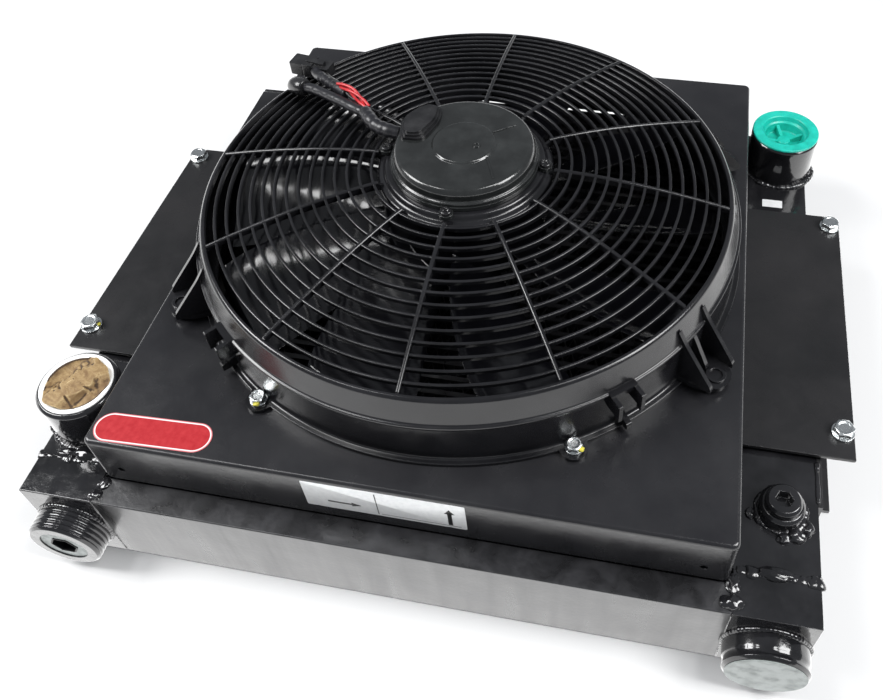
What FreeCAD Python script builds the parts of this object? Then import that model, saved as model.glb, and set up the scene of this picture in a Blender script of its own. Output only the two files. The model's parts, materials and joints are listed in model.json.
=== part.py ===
import FreeCAD, Part

import math
import os
import re

import Sketcher

# Hydraulic oil cooler: a bar-and-plate core between two welded tanks, with an electric suction fan
# on a sheet-metal shroud. Millimetres, +Z up, +X right, +Y back. The origin is on the fan's axis,
# in the plane of the core's underside.

Vector = FreeCAD.Vector

DIMENSIONS = {
    # Core. Oil flows along X in flat passages, and air flows along Z between them.
    "core_half_width": 214,
    "core_front": 246,
    "core_back": 227,
    "core_height": 74,
    "frame_depth": 20,
    "frame_wall": 3,
    "passage_depth": 4,
    "passage_wall": 0.8,
    "passage_bar": 6,
    "passage_count": 31,
    "fin_folds": 50,
    "fin_sheet": 0.4,
    "fin_inset": 1,
    # Tanks. Each is a channel welded to the core, with a thick block in front and a cap behind.
    "tank_outer": 268,
    "tank_back": 214,
    "tank_wall": 4,
    "tank_cap": 5,
    "block_length": 29,
    # Ports. The top ports stand on the tanks and the front ports on the end blocks.
    "front_port_x": 241,
    "front_port_z": 34,
    "front_port_bore": 17,
    "front_port_length": 18,
    "left_front_radius": 26,
    "right_front_radius": 27.5,
    "socket_across": 19,
    "socket_depth": 9,
    "top_port_x": 244,
    "left_port_y": 180,
    "right_port_y": 174,
    "top_port_radius": 28.5,
    "top_port_bore": 24,
    "top_port_length": 39,
    "groove_depth": 1,
    "lip": 2,
    "spigot": 8,
    "liner_wall": 1.8,
    "liner_reach": 26,
    "liner_flange": 27,
    "liner_rise": 1.4,
    "plug_clearance": 0.3,
    "bung_reach": 22,
    "protector_reach": 20,
    "protector_floor": 12,
    "protector_recess": 18,
    "protector_flange": 28.3,
    "vent_x": 243,
    "vent_y": 172,
    "vent_radius": 15,
    "vent_height": 11,
    "vent_bore": 7,
    "vent_socket": 10,
    "vent_socket_depth": 7,
    "vent_head": 12,
    "vent_head_height": 6,
    # Shroud and the two wing plates that carry it.
    "shroud_half_width": 211.5,
    "shroud_half_depth": 227,
    "shroud_top": 122,
    "shroud_sheet": 2,
    "shroud_corner": 5,
    "shroud_bend": 3,
    "shroud_opening": 196,
    "flange_hole": 2.5,
    "flange_hole_x": 194,
    "flange_hole_z": 91,
    "seal_width": 9,
    "wing_outer": 293,
    "wing_front": 129,
    "wing_back": 107,
    "wing_sheet": 3,
    "wing_clip": 10,
    "bracket_sheet": 3,
    "bracket_front": 165,
    "wing_bolt_x": 285,
    "wing_bolt_front": 108,
    "wing_bolt_back": 95,
    "foot_hole_x": 283,
    "foot_hole_reach": 60,
    "foot_hole_radius": 4.5,
    # Fasteners: M8 on the wing plates and M6 on the fan. Each is across its flats and a radius.
    "washer_sheet": 1.6,
    "wing_head": 5.3,
    "wing_across": 13,
    "wing_shank": 4,
    "wing_length": 20,
    "wing_nut": 6.5,
    "wing_washer": 8,
    "wing_washer_bore": 4.2,
    "wing_hole": 4.4,
    "fan_head": 4,
    "fan_across": 10,
    "fan_shank": 3,
    "fan_length": 14,
    "fan_nut": 5,
    "fan_washer": 6,
    "fan_washer_bore": 3.2,
    "fan_hole": 3.3,
    # Fan housing and its domed grille.
    "housing_radius": 201,
    "housing_bore": 198,
    "housing_edge_z": 158,
    "foot_radius": 206,
    "foot_sheet": 3,
    "rim_radius": 192,
    "rim_z": 177,
    "ring_first": 68,
    "ring_count": 14,
    "ring_width": 2.2,
    "ring_depth": 4,
    "crown_z": 197,
    "spoke_count": 12,
    "spoke_width": 3,
    "spoke_depth": 6,
    "spoke_rise": 0.4,
    "hub_ring": 64,
    "hub_bore": 51,
    "hub_top": 198,
    "lug_radius": 218,
    "lug_tip": 230,
    "lug_half_width": 17,
    "lug_sheet": 4,
    "lug_base": 126,
    "lug_hole": 4.3,
    "ear_radius": 9,
    "clip_half_width": 8,
    "clip_width": 3,
    "clip_reach": 11,
    "clip_drop": 18,
    "gusset_offset": 12.5,
    "gusset_width": 3,
    "gusset_top": 168,
    "fan_bolt_x": 106,
    "fan_bolt_y": 178,
    # Fan motor.
    "motor_radius": 49,
    "motor_bottom": 148,
    "motor_wall": 1.5,
    "motor_flange": 54,
    "motor_flange_sheet": 3,
    "motor_screw_radius": 58.5,
    "motor_ear": 5,
    "motor_shank": 2.2,
    "motor_head": 4.2,
    "motor_head_height": 3,
    "cover_radius": 51,
    "cover_top": 213,
    "shaft_radius": 4,
    "bearing_radius": 11,
    "bearing_clearance": 0.03,
    "bearing_height": 6,
    "bearing_seat": 8,
    "cover_disc": 22,
    "cover_disc_rise": 1.6,
    "rib_start": 23,
    "rib_end": 42,
    "rib_width": 1.4,
    "rib_rise": 0.7,
    "magnet_level": 12,
    "magnet_height": 22,
    "magnet_gap": 18,
    "armature_radius": 34,
    "armature_level": 14,
    "armature_top": 32,
    "winding_inner": 10,
    "winding_low": 9,
    "winding_high": 36,
    "commutator_radius": 12,
    "commutator_low": 36.5,
    "commutator_high": 43,
    "card_bore": 15,
    "card_level": 42.5,
    "card_sheet": 2,
    "brush_reach": 27,
    "brush_width": 6,
    "brush_height": 5,
    "lead_length": 26,
    "lead_width": 34,
    "lead_height": 4.5,
    "lead_corner": 10,
    "socket_length": 36,
    "socket_width": 14,
    "socket_height": 12,
    "socket_rise": 8,
    "pin_length": 20,
    "pin_width": 15,
    "pin_height": 11,
    "pin_rise": 9,
    # Impeller.
    "blade_count": 10,
    "impeller_hub": 60,
    "impeller_bore": 52,
    "impeller_floor": 4,
    "impeller_boss": 9,
    "impeller_boss_height": 15,
    "impeller_nut_radius": 8,
    "impeller_nut_height": 4,
    "impeller_bottom": 128,
    "impeller_top": 184,
    "blade_centre_z": 148,
    "blade_sheet": 2.2,
    "blade_camber": 0.09,
    "root_radius": 57,
    "root_chord": 34,
    "root_pitch": 38,
    "root_sweep": 0,
    "waist_radius": 120,
    "waist_chord": 60,
    "waist_pitch": 29,
    "waist_sweep": 2,
    "tip_radius": 182,
    "tip_chord": 72,
    "tip_pitch": 22,
    "tip_sweep": -18,
    # Cable and labels.
    "cable_angle": 154.5,
    "sleeve_radius": 4.5,
    "wire_radius": 1.3,
    "label_sheet": 0.3,
    "badge_length": 81.5,
    "badge_width": 22,
    "badge_sheet": 0.4,
}

# Angles round the fan's axis, in degrees.
LUG_ANGLES = (30, 150, 210, 330)
CLIP_ANGLES = (229, 311)
LEAD_ANGLE = 6
SOCKET_ANGLE = 170
PIN_ANGLE = 154.5
RIB_ANGLES = (-47, 48)
BADGE_ANGLE = 4.5

ORIGIN_POINT = (-1, 1)
H_AXIS = -1
V_AXIS = -2
SIDES = (("left", -1), ("right", 1))

doc = FreeCAD.newDocument("OilCooler")
sheet = doc.addObject("Spreadsheet::Sheet", "dims")
for row, (alias, value) in enumerate(DIMENSIONS.items(), start=1):
    sheet.set(f"A{row}", alias)
    sheet.set(f"B{row}", str(value))
    sheet.setAlias(f"B{row}", alias)
doc.recompute()

parts = []


# ---------------------------------------------------------------- building blocks

def sized(text):
    """Point each dimension's name in an expression at its cell in the sheet."""
    def refer(match):
        word = match.group()
        return "dims." + word if word in DIMENSIONS else word
    return re.sub(r"[A-Za-z_]+", refer, text)


def bind(thing, target, text):
    thing.setExpression(target, sized(text))


def read(alias):
    return float(sheet.get(alias))


def place(thing, x="0", y="0", z="0"):
    for axis, text in zip("xyz", (x, y, z)):
        bind(thing, "Placement.Base." + axis, text)


def new_body(label, x="0", y="0", z="0", turn=0):
    body = doc.addObject("PartDesign::Body", label)
    body.Label = label
    body.Placement = FreeCAD.Placement(Vector(), FreeCAD.Rotation(Vector(0, 0, 1), turn))
    place(body, x, y, z)
    parts.append(body)
    return body


def new_sketch(body, plane, lift="0", turn=0):
    """A sketch on one of the body's own planes, lifted along its normal and turned about its Y."""
    sketch = body.newObject("Sketcher::SketchObject", body.Label + "_sketch")
    for feature in body.Origin.OriginFeatures:
        if feature.Role == plane:
            sketch.AttachmentSupport = [(feature, "")]
    sketch.MapMode = "FlatFace"
    if turn:
        rotation = FreeCAD.Rotation(Vector(0, 1, 0), turn)
        sketch.AttachmentOffset = FreeCAD.Placement(Vector(), rotation)
    if lift != "0":
        bind(sketch, "AttachmentOffset.Base.x", f"({lift}) * sin({turn} deg)")
        bind(sketch, "AttachmentOffset.Base.z", f"({lift}) * cos({turn} deg)")
    return sketch


def tie_points(sketch, points, others=()):
    """Tie points to the sheet, each with one size along X and one along Y. Each point is
    (geometry, end, x expression, y expression), and others are further constraints to add."""
    constraints = list(others)
    sizes = []
    for geometry, end, *values in points:
        for kind, axis, text in zip(("DistanceX", "DistanceY"), (V_AXIS, H_AXIS), values):
            if text == "0":
                constraints.append(Sketcher.Constraint("PointOnObject", geometry, end, axis))
            else:
                sizes.append((len(constraints), text))
                constraints.append(Sketcher.Constraint(kind, *ORIGIN_POINT, geometry, end, 1.0))
    first = sketch.ConstraintCount
    sketch.addConstraint(constraints)
    for index, text in sizes:
        bind(sketch, f"Constraints[{first + index}]", text)


def polygon(sketch, corners):
    """A closed outline through corners given as pairs of expressions."""
    count = len(corners)
    turn = 2 * math.pi / count
    start = [Vector(math.cos(turn * i), math.sin(turn * i), 0) for i in range(count)]
    edges = [Part.LineSegment(start[i], start[(i + 1) % count]) for i in range(count)]
    ids = sketch.addGeometry(edges, False)
    joins = [Sketcher.Constraint("Coincident", ids[i - 1], 2, ids[i], 1) for i in range(count)]
    tie_points(sketch, [(edge, 1, x, y) for edge, (x, y) in zip(ids, corners)], joins)


def rectangle(sketch, x_low, y_low, x_high, y_high):
    polygon(sketch, [(x_low, y_low), (x_high, y_low), (x_high, y_high), (x_low, y_high)])


def circle(sketch, x, y, radius):
    edge = sketch.addGeometry(Part.Circle(Vector(), Vector(0, 0, 1), 1), False)
    tie_points(sketch, [(edge, 3, x, y)])
    index = sketch.addConstraint(Sketcher.Constraint("Radius", edge, 1.0))
    bind(sketch, f"Constraints[{index}]", radius)


def hexagon(sketch, x, y, across):
    """A hexagon of the given size across its flats."""
    corners = []
    for i in range(6):
        reach = f"({across}) / sqrt(3)"
        corners.append((f"{x} + {reach} * cos({60 * i} deg)", f"{y} + {reach} * sin({60 * i} deg)"))
    polygon(sketch, corners)


def pad(body, sketch, length, symmetric=False, reverse=False):
    feature = body.newObject("PartDesign::Pad", body.Label + "_pad")
    feature.Refine = False
    feature.Profile = sketch
    feature.SideType = "Symmetric" if symmetric else "One side"
    feature.Reversed = reverse
    bind(feature, "Length", length)
    return feature


def pocket(body, sketch, length, symmetric=False, reverse=False):
    """A cut that runs against the sketch's normal, checked to have removed something."""
    doc.recompute()
    before = body.Shape.Volume
    feature = body.newObject("PartDesign::Pocket", body.Label + "_pocket")
    feature.Refine = False
    feature.Profile = sketch
    feature.SideType = "Symmetric" if symmetric else "One side"
    feature.Reversed = reverse
    bind(feature, "Length", length)
    doc.recompute()
    if body.Shape.Volume >= before:
        raise RuntimeError(f"{feature.Label} cuts nothing")
    return feature


def revolve(body, sketch):
    feature = body.newObject("PartDesign::Revolution", body.Label + "_revolution")
    feature.Refine = False
    feature.Profile = sketch
    feature.ReferenceAxis = (sketch, ["V_Axis"])
    feature.Angle = 360
    return feature


def polar_copies(body, features, sketch, count):
    """Copies around the normal of a flat sketch at the body's centre."""
    pattern = body.newObject("PartDesign::PolarPattern", body.Label + "_pattern")
    pattern.Refine = False
    pattern.Originals = features
    pattern.Axis = (sketch, ["N_Axis"])
    pattern.Angle = 360
    bind(pattern, "Occurrences", count)
    body.Tip = pattern
    return pattern


def is_upright(box):
    return box.XLength < 1e-6 and box.YLength < 1e-6


def round_edges(body, radius, wanted):
    """Fillet the body's edges whose bounding boxes are wanted."""
    doc.recompute()
    tip = body.Tip
    edges = enumerate(tip.Shape.Edges, start=1)
    names = [f"Edge{index}" for index, edge in edges if wanted(edge.BoundBox)]
    feature = body.newObject("PartDesign::Fillet", body.Label + "_fillet")
    feature.Base = (tip, names)
    bind(feature, "Radius", radius)
    return feature


def lathe(label, outline, x="0", y="0", z="0", along="Z"):
    """A turned piece: outline is (radius, station along the axis) pairs."""
    body = new_body(label, x, y, z)
    sketch = new_sketch(body, "XZ_Plane" if along == "Z" else "XY_Plane")
    polygon(sketch, outline)
    revolve(body, sketch)
    return body


def cylinders(label, places, bottom, height, radius):
    """A group of equal upright cylinders, as one body."""
    body = new_body(label)
    sketch = new_sketch(body, "XY_Plane", bottom)
    for x, y in places:
        circle(sketch, x, y, radius)
    pad(body, sketch, height)
    return body


def washers(label, places, bottom, thickness, radius, bore):
    body = cylinders(label, places, bottom, thickness, radius)
    sketch = new_sketch(body, "XY_Plane", bottom)
    for x, y in places:
        circle(sketch, x, y, bore)
    pocket(body, sketch, thickness, reverse=True)
    return body


def hex_screws(label, places, seat, head, across, shank, length):
    """Hexagon-head screws with their heads above the seat and their shanks below it."""
    body = new_body(label)
    heads = new_sketch(body, "XY_Plane", seat)
    shanks = new_sketch(body, "XY_Plane", seat)
    for x, y in places:
        hexagon(heads, x, y, across)
        circle(shanks, x, y, shank)
    pad(body, heads, head)
    pad(body, shanks, length, reverse=True)
    return body


def hex_nuts(label, places, bottom, thickness, across, bore):
    body = new_body(label)
    sketch = new_sketch(body, "XY_Plane", bottom)
    for x, y in places:
        hexagon(sketch, x, y, across)
        circle(sketch, x, y, bore)
    pad(body, sketch, thickness)
    return body


def block(label, length, width, height, x, y, z, turn=0):
    """An upright block standing on z and centred on x, y."""
    body = new_body(label, x, y, z, turn)
    sketch = new_sketch(body, "XY_Plane")
    rectangle(sketch, f"-({length}) / 2", f"-({width}) / 2", f"({length}) / 2", f"({width}) / 2")
    pad(body, sketch, height)
    return body


def four_corners(x, front, back):
    return [(f"{sign} * {x}", y) for sign in (-1, 1) for y in (f"-{front}", back)]


# ---------------------------------------------------------------- core

def core_channel(label, face, inward):
    """A channel that closes the stack, its web outside and its two flanges pointing inward."""
    body = new_body(label, y=face)
    sketch = new_sketch(body, "YZ_Plane")
    wall = f"{inward} * frame_wall"
    tip = f"{inward} * frame_depth"
    polygon(sketch, [
        ("0", "0"), (tip, "0"), (tip, "frame_wall"), (wall, "frame_wall"),
        (wall, "core_height - frame_wall"), (tip, "core_height - frame_wall"),
        (tip, "core_height"), ("0", "core_height"),
    ])
    pad(body, sketch, "2 * core_half_width", symmetric=True)


FIN_LAYER = ("((core_front + core_back - 2 * frame_depth - passage_count * passage_depth)"
             " / (passage_count + 1))")


def oil_passages():
    """Flat hollow passages, open into the tanks at both ends, with an air gap between them."""
    body = new_body("oil_passages", y=f"-core_front + frame_depth + {FIN_LAYER}")
    sketch = new_sketch(body, "YZ_Plane")
    rectangle(sketch, "0", "0", "passage_depth", "core_height")
    rectangle(sketch, "passage_wall", "passage_bar",
              "passage_depth - passage_wall", "core_height - passage_bar")
    passage = pad(body, sketch, "2 * core_half_width", symmetric=True)
    pattern = body.newObject("PartDesign::LinearPattern", "oil_passages_pattern")
    pattern.Originals = [passage]
    pattern.Direction = (sketch, ["H_Axis"])
    bind(pattern, "Length", f"(passage_count - 1) * (passage_depth + {FIN_LAYER})")
    bind(pattern, "Occurrences", "passage_count")
    body.Tip = pattern


def air_fins():
    """One folded strip of sheet in each air gap, its folds running along Z."""
    half_width = read("core_half_width")
    sheet_y = read("fin_sheet")
    passages = int(read("passage_count"))
    depth = read("passage_depth")
    stack = read("core_front") + read("core_back") - 2 * read("frame_depth")
    layer = (stack - passages * depth) / (passages + 1)
    inset = read("fin_inset")
    folds = 2 * int(read("fin_folds"))
    step = 2 * half_width / folds
    near = []
    far = []
    for i in range(folds + 1):
        x = -half_width + i * step
        rise = (layer - sheet_y) if i % 2 else 0
        near.append(Vector(x, rise, inset))
        far.append(Vector(x, rise + sheet_y, inset))
    outline = Part.makePolygon(near + far[::-1] + near[:1])
    strip = Part.Face(outline).extrude(Vector(0, 0, read("core_height") - 2 * inset))
    strips = []
    for i in range(passages + 1):
        copy = strip.copy()
        copy.translate(Vector(0, i * (layer + depth), 0))
        strips.append(copy)
    feature = doc.addObject("Part::Feature", "air_fins")
    feature.Label = "air_fins"
    feature.Shape = Part.makeCompound(strips)
    place(feature, y="-core_front + frame_depth")
    parts.append(feature)


# ---------------------------------------------------------------- tanks

def tank(side, sign):
    """A channel whose open side faces the core. The port's hole goes through its top."""
    body = new_body(f"{side}_tank", y="tank_back - tank_cap")
    inner = f"{sign} * core_half_width"
    outer = f"{sign} * tank_outer"
    wall = f"{sign} * (tank_outer - tank_wall)"
    sketch = new_sketch(body, "XZ_Plane")
    polygon(sketch, [
        (inner, "0"), (outer, "0"), (outer, "core_height"), (inner, "core_height"),
        (inner, "core_height - tank_wall"), (wall, "core_height - tank_wall"),
        (wall, "tank_wall"), (inner, "tank_wall"),
    ])
    pad(body, sketch, "tank_back - tank_cap + core_front - block_length")
    holes = new_sketch(body, "XY_Plane", "core_height")
    port_y = "-left_port_y" if sign < 0 else "right_port_y"
    circle(holes, f"{sign} * top_port_x", f"{port_y} - tank_back + tank_cap", "top_port_bore - 3")
    if sign > 0:
        circle(holes, "vent_x", "-vent_y - tank_back + tank_cap", "vent_bore - 1")
    pocket(body, holes, "tank_wall")


def end_block(side, sign):
    """A thick block that ends the tank, bored through for the front port."""
    body = new_body(f"{side}_end_block", y="block_length - core_front")
    sketch = new_sketch(body, "XZ_Plane")
    rectangle(sketch, f"{sign} * core_half_width", "0", f"{sign} * tank_outer", "core_height")
    pad(body, sketch, "block_length")
    bore = new_sketch(body, "XZ_Plane")
    circle(bore, f"{sign} * front_port_x", "front_port_z", "front_port_bore")
    pocket(body, bore, "2 * block_length", symmetric=True)


def tank_cap(side, sign):
    body = new_body(f"{side}_tank_cap", y="tank_back")
    sketch = new_sketch(body, "XZ_Plane")
    rectangle(sketch, f"{sign} * core_half_width", "0", f"{sign} * tank_outer", "core_height")
    pad(body, sketch, "tank_cap")


# ---------------------------------------------------------------- ports

def front_boss(side, sign, radius, grooves):
    """A round boss welded to the end block, with grooves turned into its side."""
    groove_step = f"((front_port_length - 2 * lip) / {grooves})"
    outline = [("front_port_bore", "0"), (f"{radius} - lip", "0"), (radius, "-lip")]
    for i in range(grooves):
        start = f"-lip - {groove_step} * {i}"
        outline.append((radius, f"{start} - {groove_step} * 0.5"))
        outline.append((f"{radius} - groove_depth", f"{start} - {groove_step} * 0.75"))
        outline.append((radius, f"{start} - {groove_step}"))
    outline.append((f"{radius} - lip", "-front_port_length"))
    outline.append(("front_port_bore", "-front_port_length"))
    lathe(f"{side}_front_boss", outline,
          f"{sign} * front_port_x", "-core_front", "front_port_z", along="Y")


def left_front_plug():
    """A screwed plug, turned with a key in its hexagon socket."""
    body = lathe("left_front_plug", [
        ("0", "-lip"), ("front_port_bore", "-lip"), ("front_port_bore", "-front_port_length + 1"),
        ("front_port_bore - 1", "-front_port_length"), ("0", "-front_port_length"),
    ], "-front_port_x", "-core_front", "front_port_z", along="Y")
    sketch = new_sketch(body, "XZ_Plane", "front_port_length")
    hexagon(sketch, "0", "0", "socket_across")
    pocket(body, sketch, "socket_depth")


def right_front_blank():
    """A flat disc on a short spigot that blanks the port."""
    lathe("right_front_blank", [
        ("0", "-spigot"), ("front_port_bore", "-spigot"), ("front_port_bore", "-front_port_length"),
        ("right_front_radius - lip", "-front_port_length"),
        ("right_front_radius - lip", "-front_port_length - 1"), ("0", "-front_port_length - 1"),
    ], "front_port_x", "-core_front", "front_port_z", along="Y")


def top_boss(side, x, y):
    """An upright port, threaded inside, with a bevelled lip."""
    lathe(f"{side}_top_boss", [
        ("top_port_bore", "0"), ("top_port_radius", "0"), ("top_port_radius", "top_port_length - lip"),
        ("top_port_radius - lip", "top_port_length"), ("top_port_bore + 1", "top_port_length"),
        ("top_port_bore", "top_port_length - 1"),
    ], x, y, "core_height")


def port_liner():
    """A white plastic sleeve that guards the left port's thread."""
    lathe("port_liner", [
        ("top_port_bore - liner_wall", "top_port_length - liner_reach"),
        ("top_port_bore", "top_port_length - liner_reach"), ("top_port_bore", "top_port_length"),
        ("liner_flange", "top_port_length"), ("liner_flange", "top_port_length + liner_rise"),
        ("top_port_bore - liner_wall", "top_port_length + liner_rise"),
    ], "-top_port_x", "-left_port_y", "core_height")


def paper_bung():
    """Crumpled paper pushed into the left port, a plain closed plug of the same size."""
    reach = "top_port_bore - liner_wall - plug_clearance"
    lathe("paper_bung", [
        ("0", "top_port_length - bung_reach"), (f"{reach} - 4", "top_port_length - bung_reach"),
        (reach, "top_port_length - bung_reach + 4"), (reach, "top_port_length - 1"),
        (f"{reach} - 5", "top_port_length + 2"), ("0", "top_port_length + 3.5"),
    ], "-top_port_x", "-left_port_y", "core_height")


def thread_protector():
    """A cup-shaped plastic plug in the right port, with a flange over the port's lip."""
    reach = "top_port_bore - plug_clearance"
    lathe("thread_protector", [
        ("0", "top_port_length - protector_reach"), (reach, "top_port_length - protector_reach"),
        (reach, "top_port_length"), ("protector_flange", "top_port_length"),
        ("protector_flange", "top_port_length + lip"),
        ("protector_recess", "top_port_length + lip"),
        ("protector_recess - 1", "top_port_length - protector_floor"),
        ("0", "top_port_length - protector_floor"),
    ], "top_port_x", "right_port_y", "core_height")


def vent_port():
    """A small stepped boss on the right tank and the socket plug that closes it."""
    lathe("vent_boss", [
        ("vent_bore", "0"), ("vent_radius", "0"), ("vent_radius", "vent_height - lip"),
        ("vent_radius - lip", "vent_height"), ("vent_bore", "vent_height"),
    ], "vent_x", "-vent_y", "core_height")
    plug = lathe("vent_plug", [
        ("0", "lip"), ("vent_bore", "lip"), ("vent_bore", "vent_height"),
        ("vent_head", "vent_height"), ("vent_head", "vent_height + vent_head_height - lip"),
        ("vent_head - lip", "vent_height + vent_head_height"), ("0", "vent_height + vent_head_height"),
    ], "vent_x", "-vent_y", "core_height")
    sketch = new_sketch(plug, "XY_Plane", "vent_height + vent_head_height")
    hexagon(sketch, "0", "0", "vent_socket")
    pocket(plug, sketch, "vent_socket_depth")


# ---------------------------------------------------------------- shroud and brackets

def shroud():
    """A folded box of sheet metal, open below, with a round opening under the fan."""
    body = new_body("shroud")
    base = "core_height + wing_sheet"
    outer = new_sketch(body, "XY_Plane", base)
    rectangle(outer, "-shroud_half_width", "-shroud_half_depth",
              "shroud_half_width", "shroud_half_depth")
    pad(body, outer, f"shroud_top - ({base})")
    round_edges(body, "shroud_corner", is_upright)
    top_z = read("shroud_top")
    round_edges(body, "shroud_bend", lambda box: abs(box.ZMin - top_z) < 1e-6)
    hollow = new_sketch(body, "XY_Plane", base)
    width = "shroud_half_width - shroud_sheet"
    depth = "shroud_half_depth - shroud_sheet"
    rectangle(hollow, f"-({width})", f"-({depth})", width, depth)
    pocket(body, hollow, f"shroud_top - shroud_sheet - ({base})", reverse=True)
    top = new_sketch(body, "XY_Plane", "shroud_top")
    circle(top, "0", "0", "shroud_opening")
    for x, y in four_corners("fan_bolt_x", "fan_bolt_y", "fan_bolt_y"):
        circle(top, x, y, "fan_hole")
    pocket(body, top, "shroud_sheet")
    side_holes = new_sketch(body, "XZ_Plane")
    for sign in (-1, 1):
        circle(side_holes, f"{sign} * flange_hole_x", "flange_hole_z", "flange_hole")
    pocket(body, side_holes, "2 * shroud_half_depth + 2", symmetric=True)


def shroud_seal():
    """A foam frame that closes the gap between the shroud's folded edge and the core."""
    body = new_body("shroud_seal")
    sketch = new_sketch(body, "XY_Plane", "core_height")
    width = "shroud_half_width - shroud_corner"
    depth = "shroud_half_depth - shroud_corner"
    rectangle(sketch, f"-({width})", f"-({depth})", width, depth)
    rectangle(sketch, f"-({width} - seal_width)", f"-({depth} - seal_width)",
              f"{width} - seal_width", f"{depth} - seal_width")
    pad(body, sketch, "wing_sheet")


def wing_plate(side, sign):
    """A flat plate from the shroud's side to the bracket, with its back corner clipped."""
    body = new_body(f"{side}_wing_plate")
    sketch = new_sketch(body, "XY_Plane", "core_height + bracket_sheet")
    inner = f"{sign} * shroud_half_width"
    outer = f"{sign} * wing_outer"
    polygon(sketch, [
        (inner, "-wing_front"), (outer, "-wing_front"), (outer, "wing_back - wing_clip * 0.4"),
        (f"{sign} * (wing_outer - wing_clip)", "wing_back"), (inner, "wing_back"),
    ])
    for y in ("-wing_bolt_front", "wing_bolt_back"):
        circle(sketch, f"{sign} * wing_bolt_x", y, "wing_hole")
    pad(body, sketch, "wing_sheet")


def mounting_bracket(side, sign):
    """A folded channel welded to the tank's outer wall: an upper leg under the wing plate, and a
    lower leg with two holes that bolts to the machine. Its web runs on past the legs in front."""
    body = new_body(f"{side}_mounting_bracket")
    wall = f"{sign} * tank_outer"
    web_face = f"{sign} * (tank_outer + bracket_sheet)"
    tip = f"{sign} * wing_outer"
    web = new_sketch(body, "XY_Plane")
    rectangle(web, wall, "-bracket_front", web_face, "wing_back")
    pad(body, web, "core_height")
    for level, root, hole_x, front, back, radius in (
        ("0", web_face, "foot_hole_x", "foot_hole_reach", "foot_hole_reach", "foot_hole_radius"),
        ("core_height", wall, "wing_bolt_x", "wing_bolt_front", "wing_bolt_back", "wing_hole"),
    ):
        leg = new_sketch(body, "XY_Plane", level)
        rectangle(leg, root, "-wing_front + 2", tip, "wing_back - 2")
        circle(leg, f"{sign} * {hole_x}", f"-{front}", radius)
        circle(leg, f"{sign} * {hole_x}", back, radius)
        pad(body, leg, "bracket_sheet")


def wing_fasteners():
    places = four_corners("wing_bolt_x", "wing_bolt_front", "wing_bolt_back")
    deck = "core_height + bracket_sheet + wing_sheet"
    washers("wing_washers", places, deck, "washer_sheet", "wing_washer", "wing_washer_bore")
    hex_screws("wing_bolts", places, f"{deck} + washer_sheet",
               "wing_head", "wing_across", "wing_shank", "wing_length")
    hex_nuts("wing_nuts", places, "core_height - wing_nut", "wing_nut", "wing_across", "wing_shank")


# ---------------------------------------------------------------- fan housing and grille

def dome(radius):
    """The height of the grille's top at a radius: high beside the motor, low at the rim."""
    run = f"(({radius} - ring_first) / (rim_radius - ring_first))"
    return f"(crown_z - (crown_z - rim_z) * {run} ^ 1.6)"


def spoke_outline():
    """The side view of a spoke, following the dome from the hub ring to the rim."""
    upper = []
    lower = []
    for share in (0, 0.25, 0.5, 0.75, 1):
        radius = f"(ring_first + (rim_radius - ring_first) * {share})"
        upper.append((radius, f"{dome(radius)} + spoke_rise"))
        lower.append((radius, f"{dome(radius)} - spoke_depth"))
    start = "(hub_ring - 3)"
    upper.insert(0, (start, "crown_z"))
    lower.insert(0, (start, "crown_z - spoke_depth"))
    return upper + lower[::-1]


def mounting_lug(body, angle):
    """A foot with a hole and three upright gussets against the housing's wall."""
    across = (f"cos({angle} deg)", f"sin({angle} deg)")

    def at(radius, offset):
        x = f"({radius}) * {across[0]} - ({offset}) * {across[1]}"
        y = f"({radius}) * {across[1]} + ({offset}) * {across[0]}"
        return x, y

    foot = new_sketch(body, "XY_Plane", "lug_base")
    polygon(foot, [
        at("housing_bore + 1", "-lug_half_width"), at("lug_radius", "-lug_half_width + 3"),
        at("lug_tip", "-7"), at("lug_tip", "7"), at("lug_radius", "lug_half_width - 3"),
        at("housing_bore + 1", "lug_half_width"),
    ])
    circle(foot, *at("lug_radius + 3", "0"), "lug_hole")
    pad(body, foot, "lug_sheet")
    for side, reach in ((1, "lug_tip - 6"), (0, "lug_radius - 5"), (-1, "lug_tip - 6")):
        offset = f"{side} * gusset_offset" if side else "0"
        gusset = new_sketch(body, "XZ_Plane", offset, angle)
        root = "(housing_bore + 1)"
        polygon(gusset, [
            (root, "lug_base + lug_sheet - 1"), (reach, "lug_base + lug_sheet - 1"),
            (reach, "lug_base + lug_sheet + 3"), ("housing_radius + 2", "gusset_top"),
            (root, "gusset_top - 12"),
        ])
        pad(body, gusset, "gusset_width", symmetric=True)


def cable_clip(body, angle):
    """A small open loop on the outside of the wall."""
    low = "housing_edge_z - clip_drop"
    tip = "housing_radius + clip_reach"
    for side in (-1, 1):
        arm = new_sketch(body, "XZ_Plane", f"{side} * clip_half_width", angle)
        rectangle(arm, "housing_bore + 1", low, tip, "housing_edge_z - 4")
        pad(body, arm, "clip_width", symmetric=True)
    bridge = new_sketch(body, "XZ_Plane", "0", angle)
    rectangle(bridge, f"{tip} - clip_width", low, tip, f"{low} + 2 * clip_width")
    pad(body, bridge, "2 * clip_half_width", symmetric=True)


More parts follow.
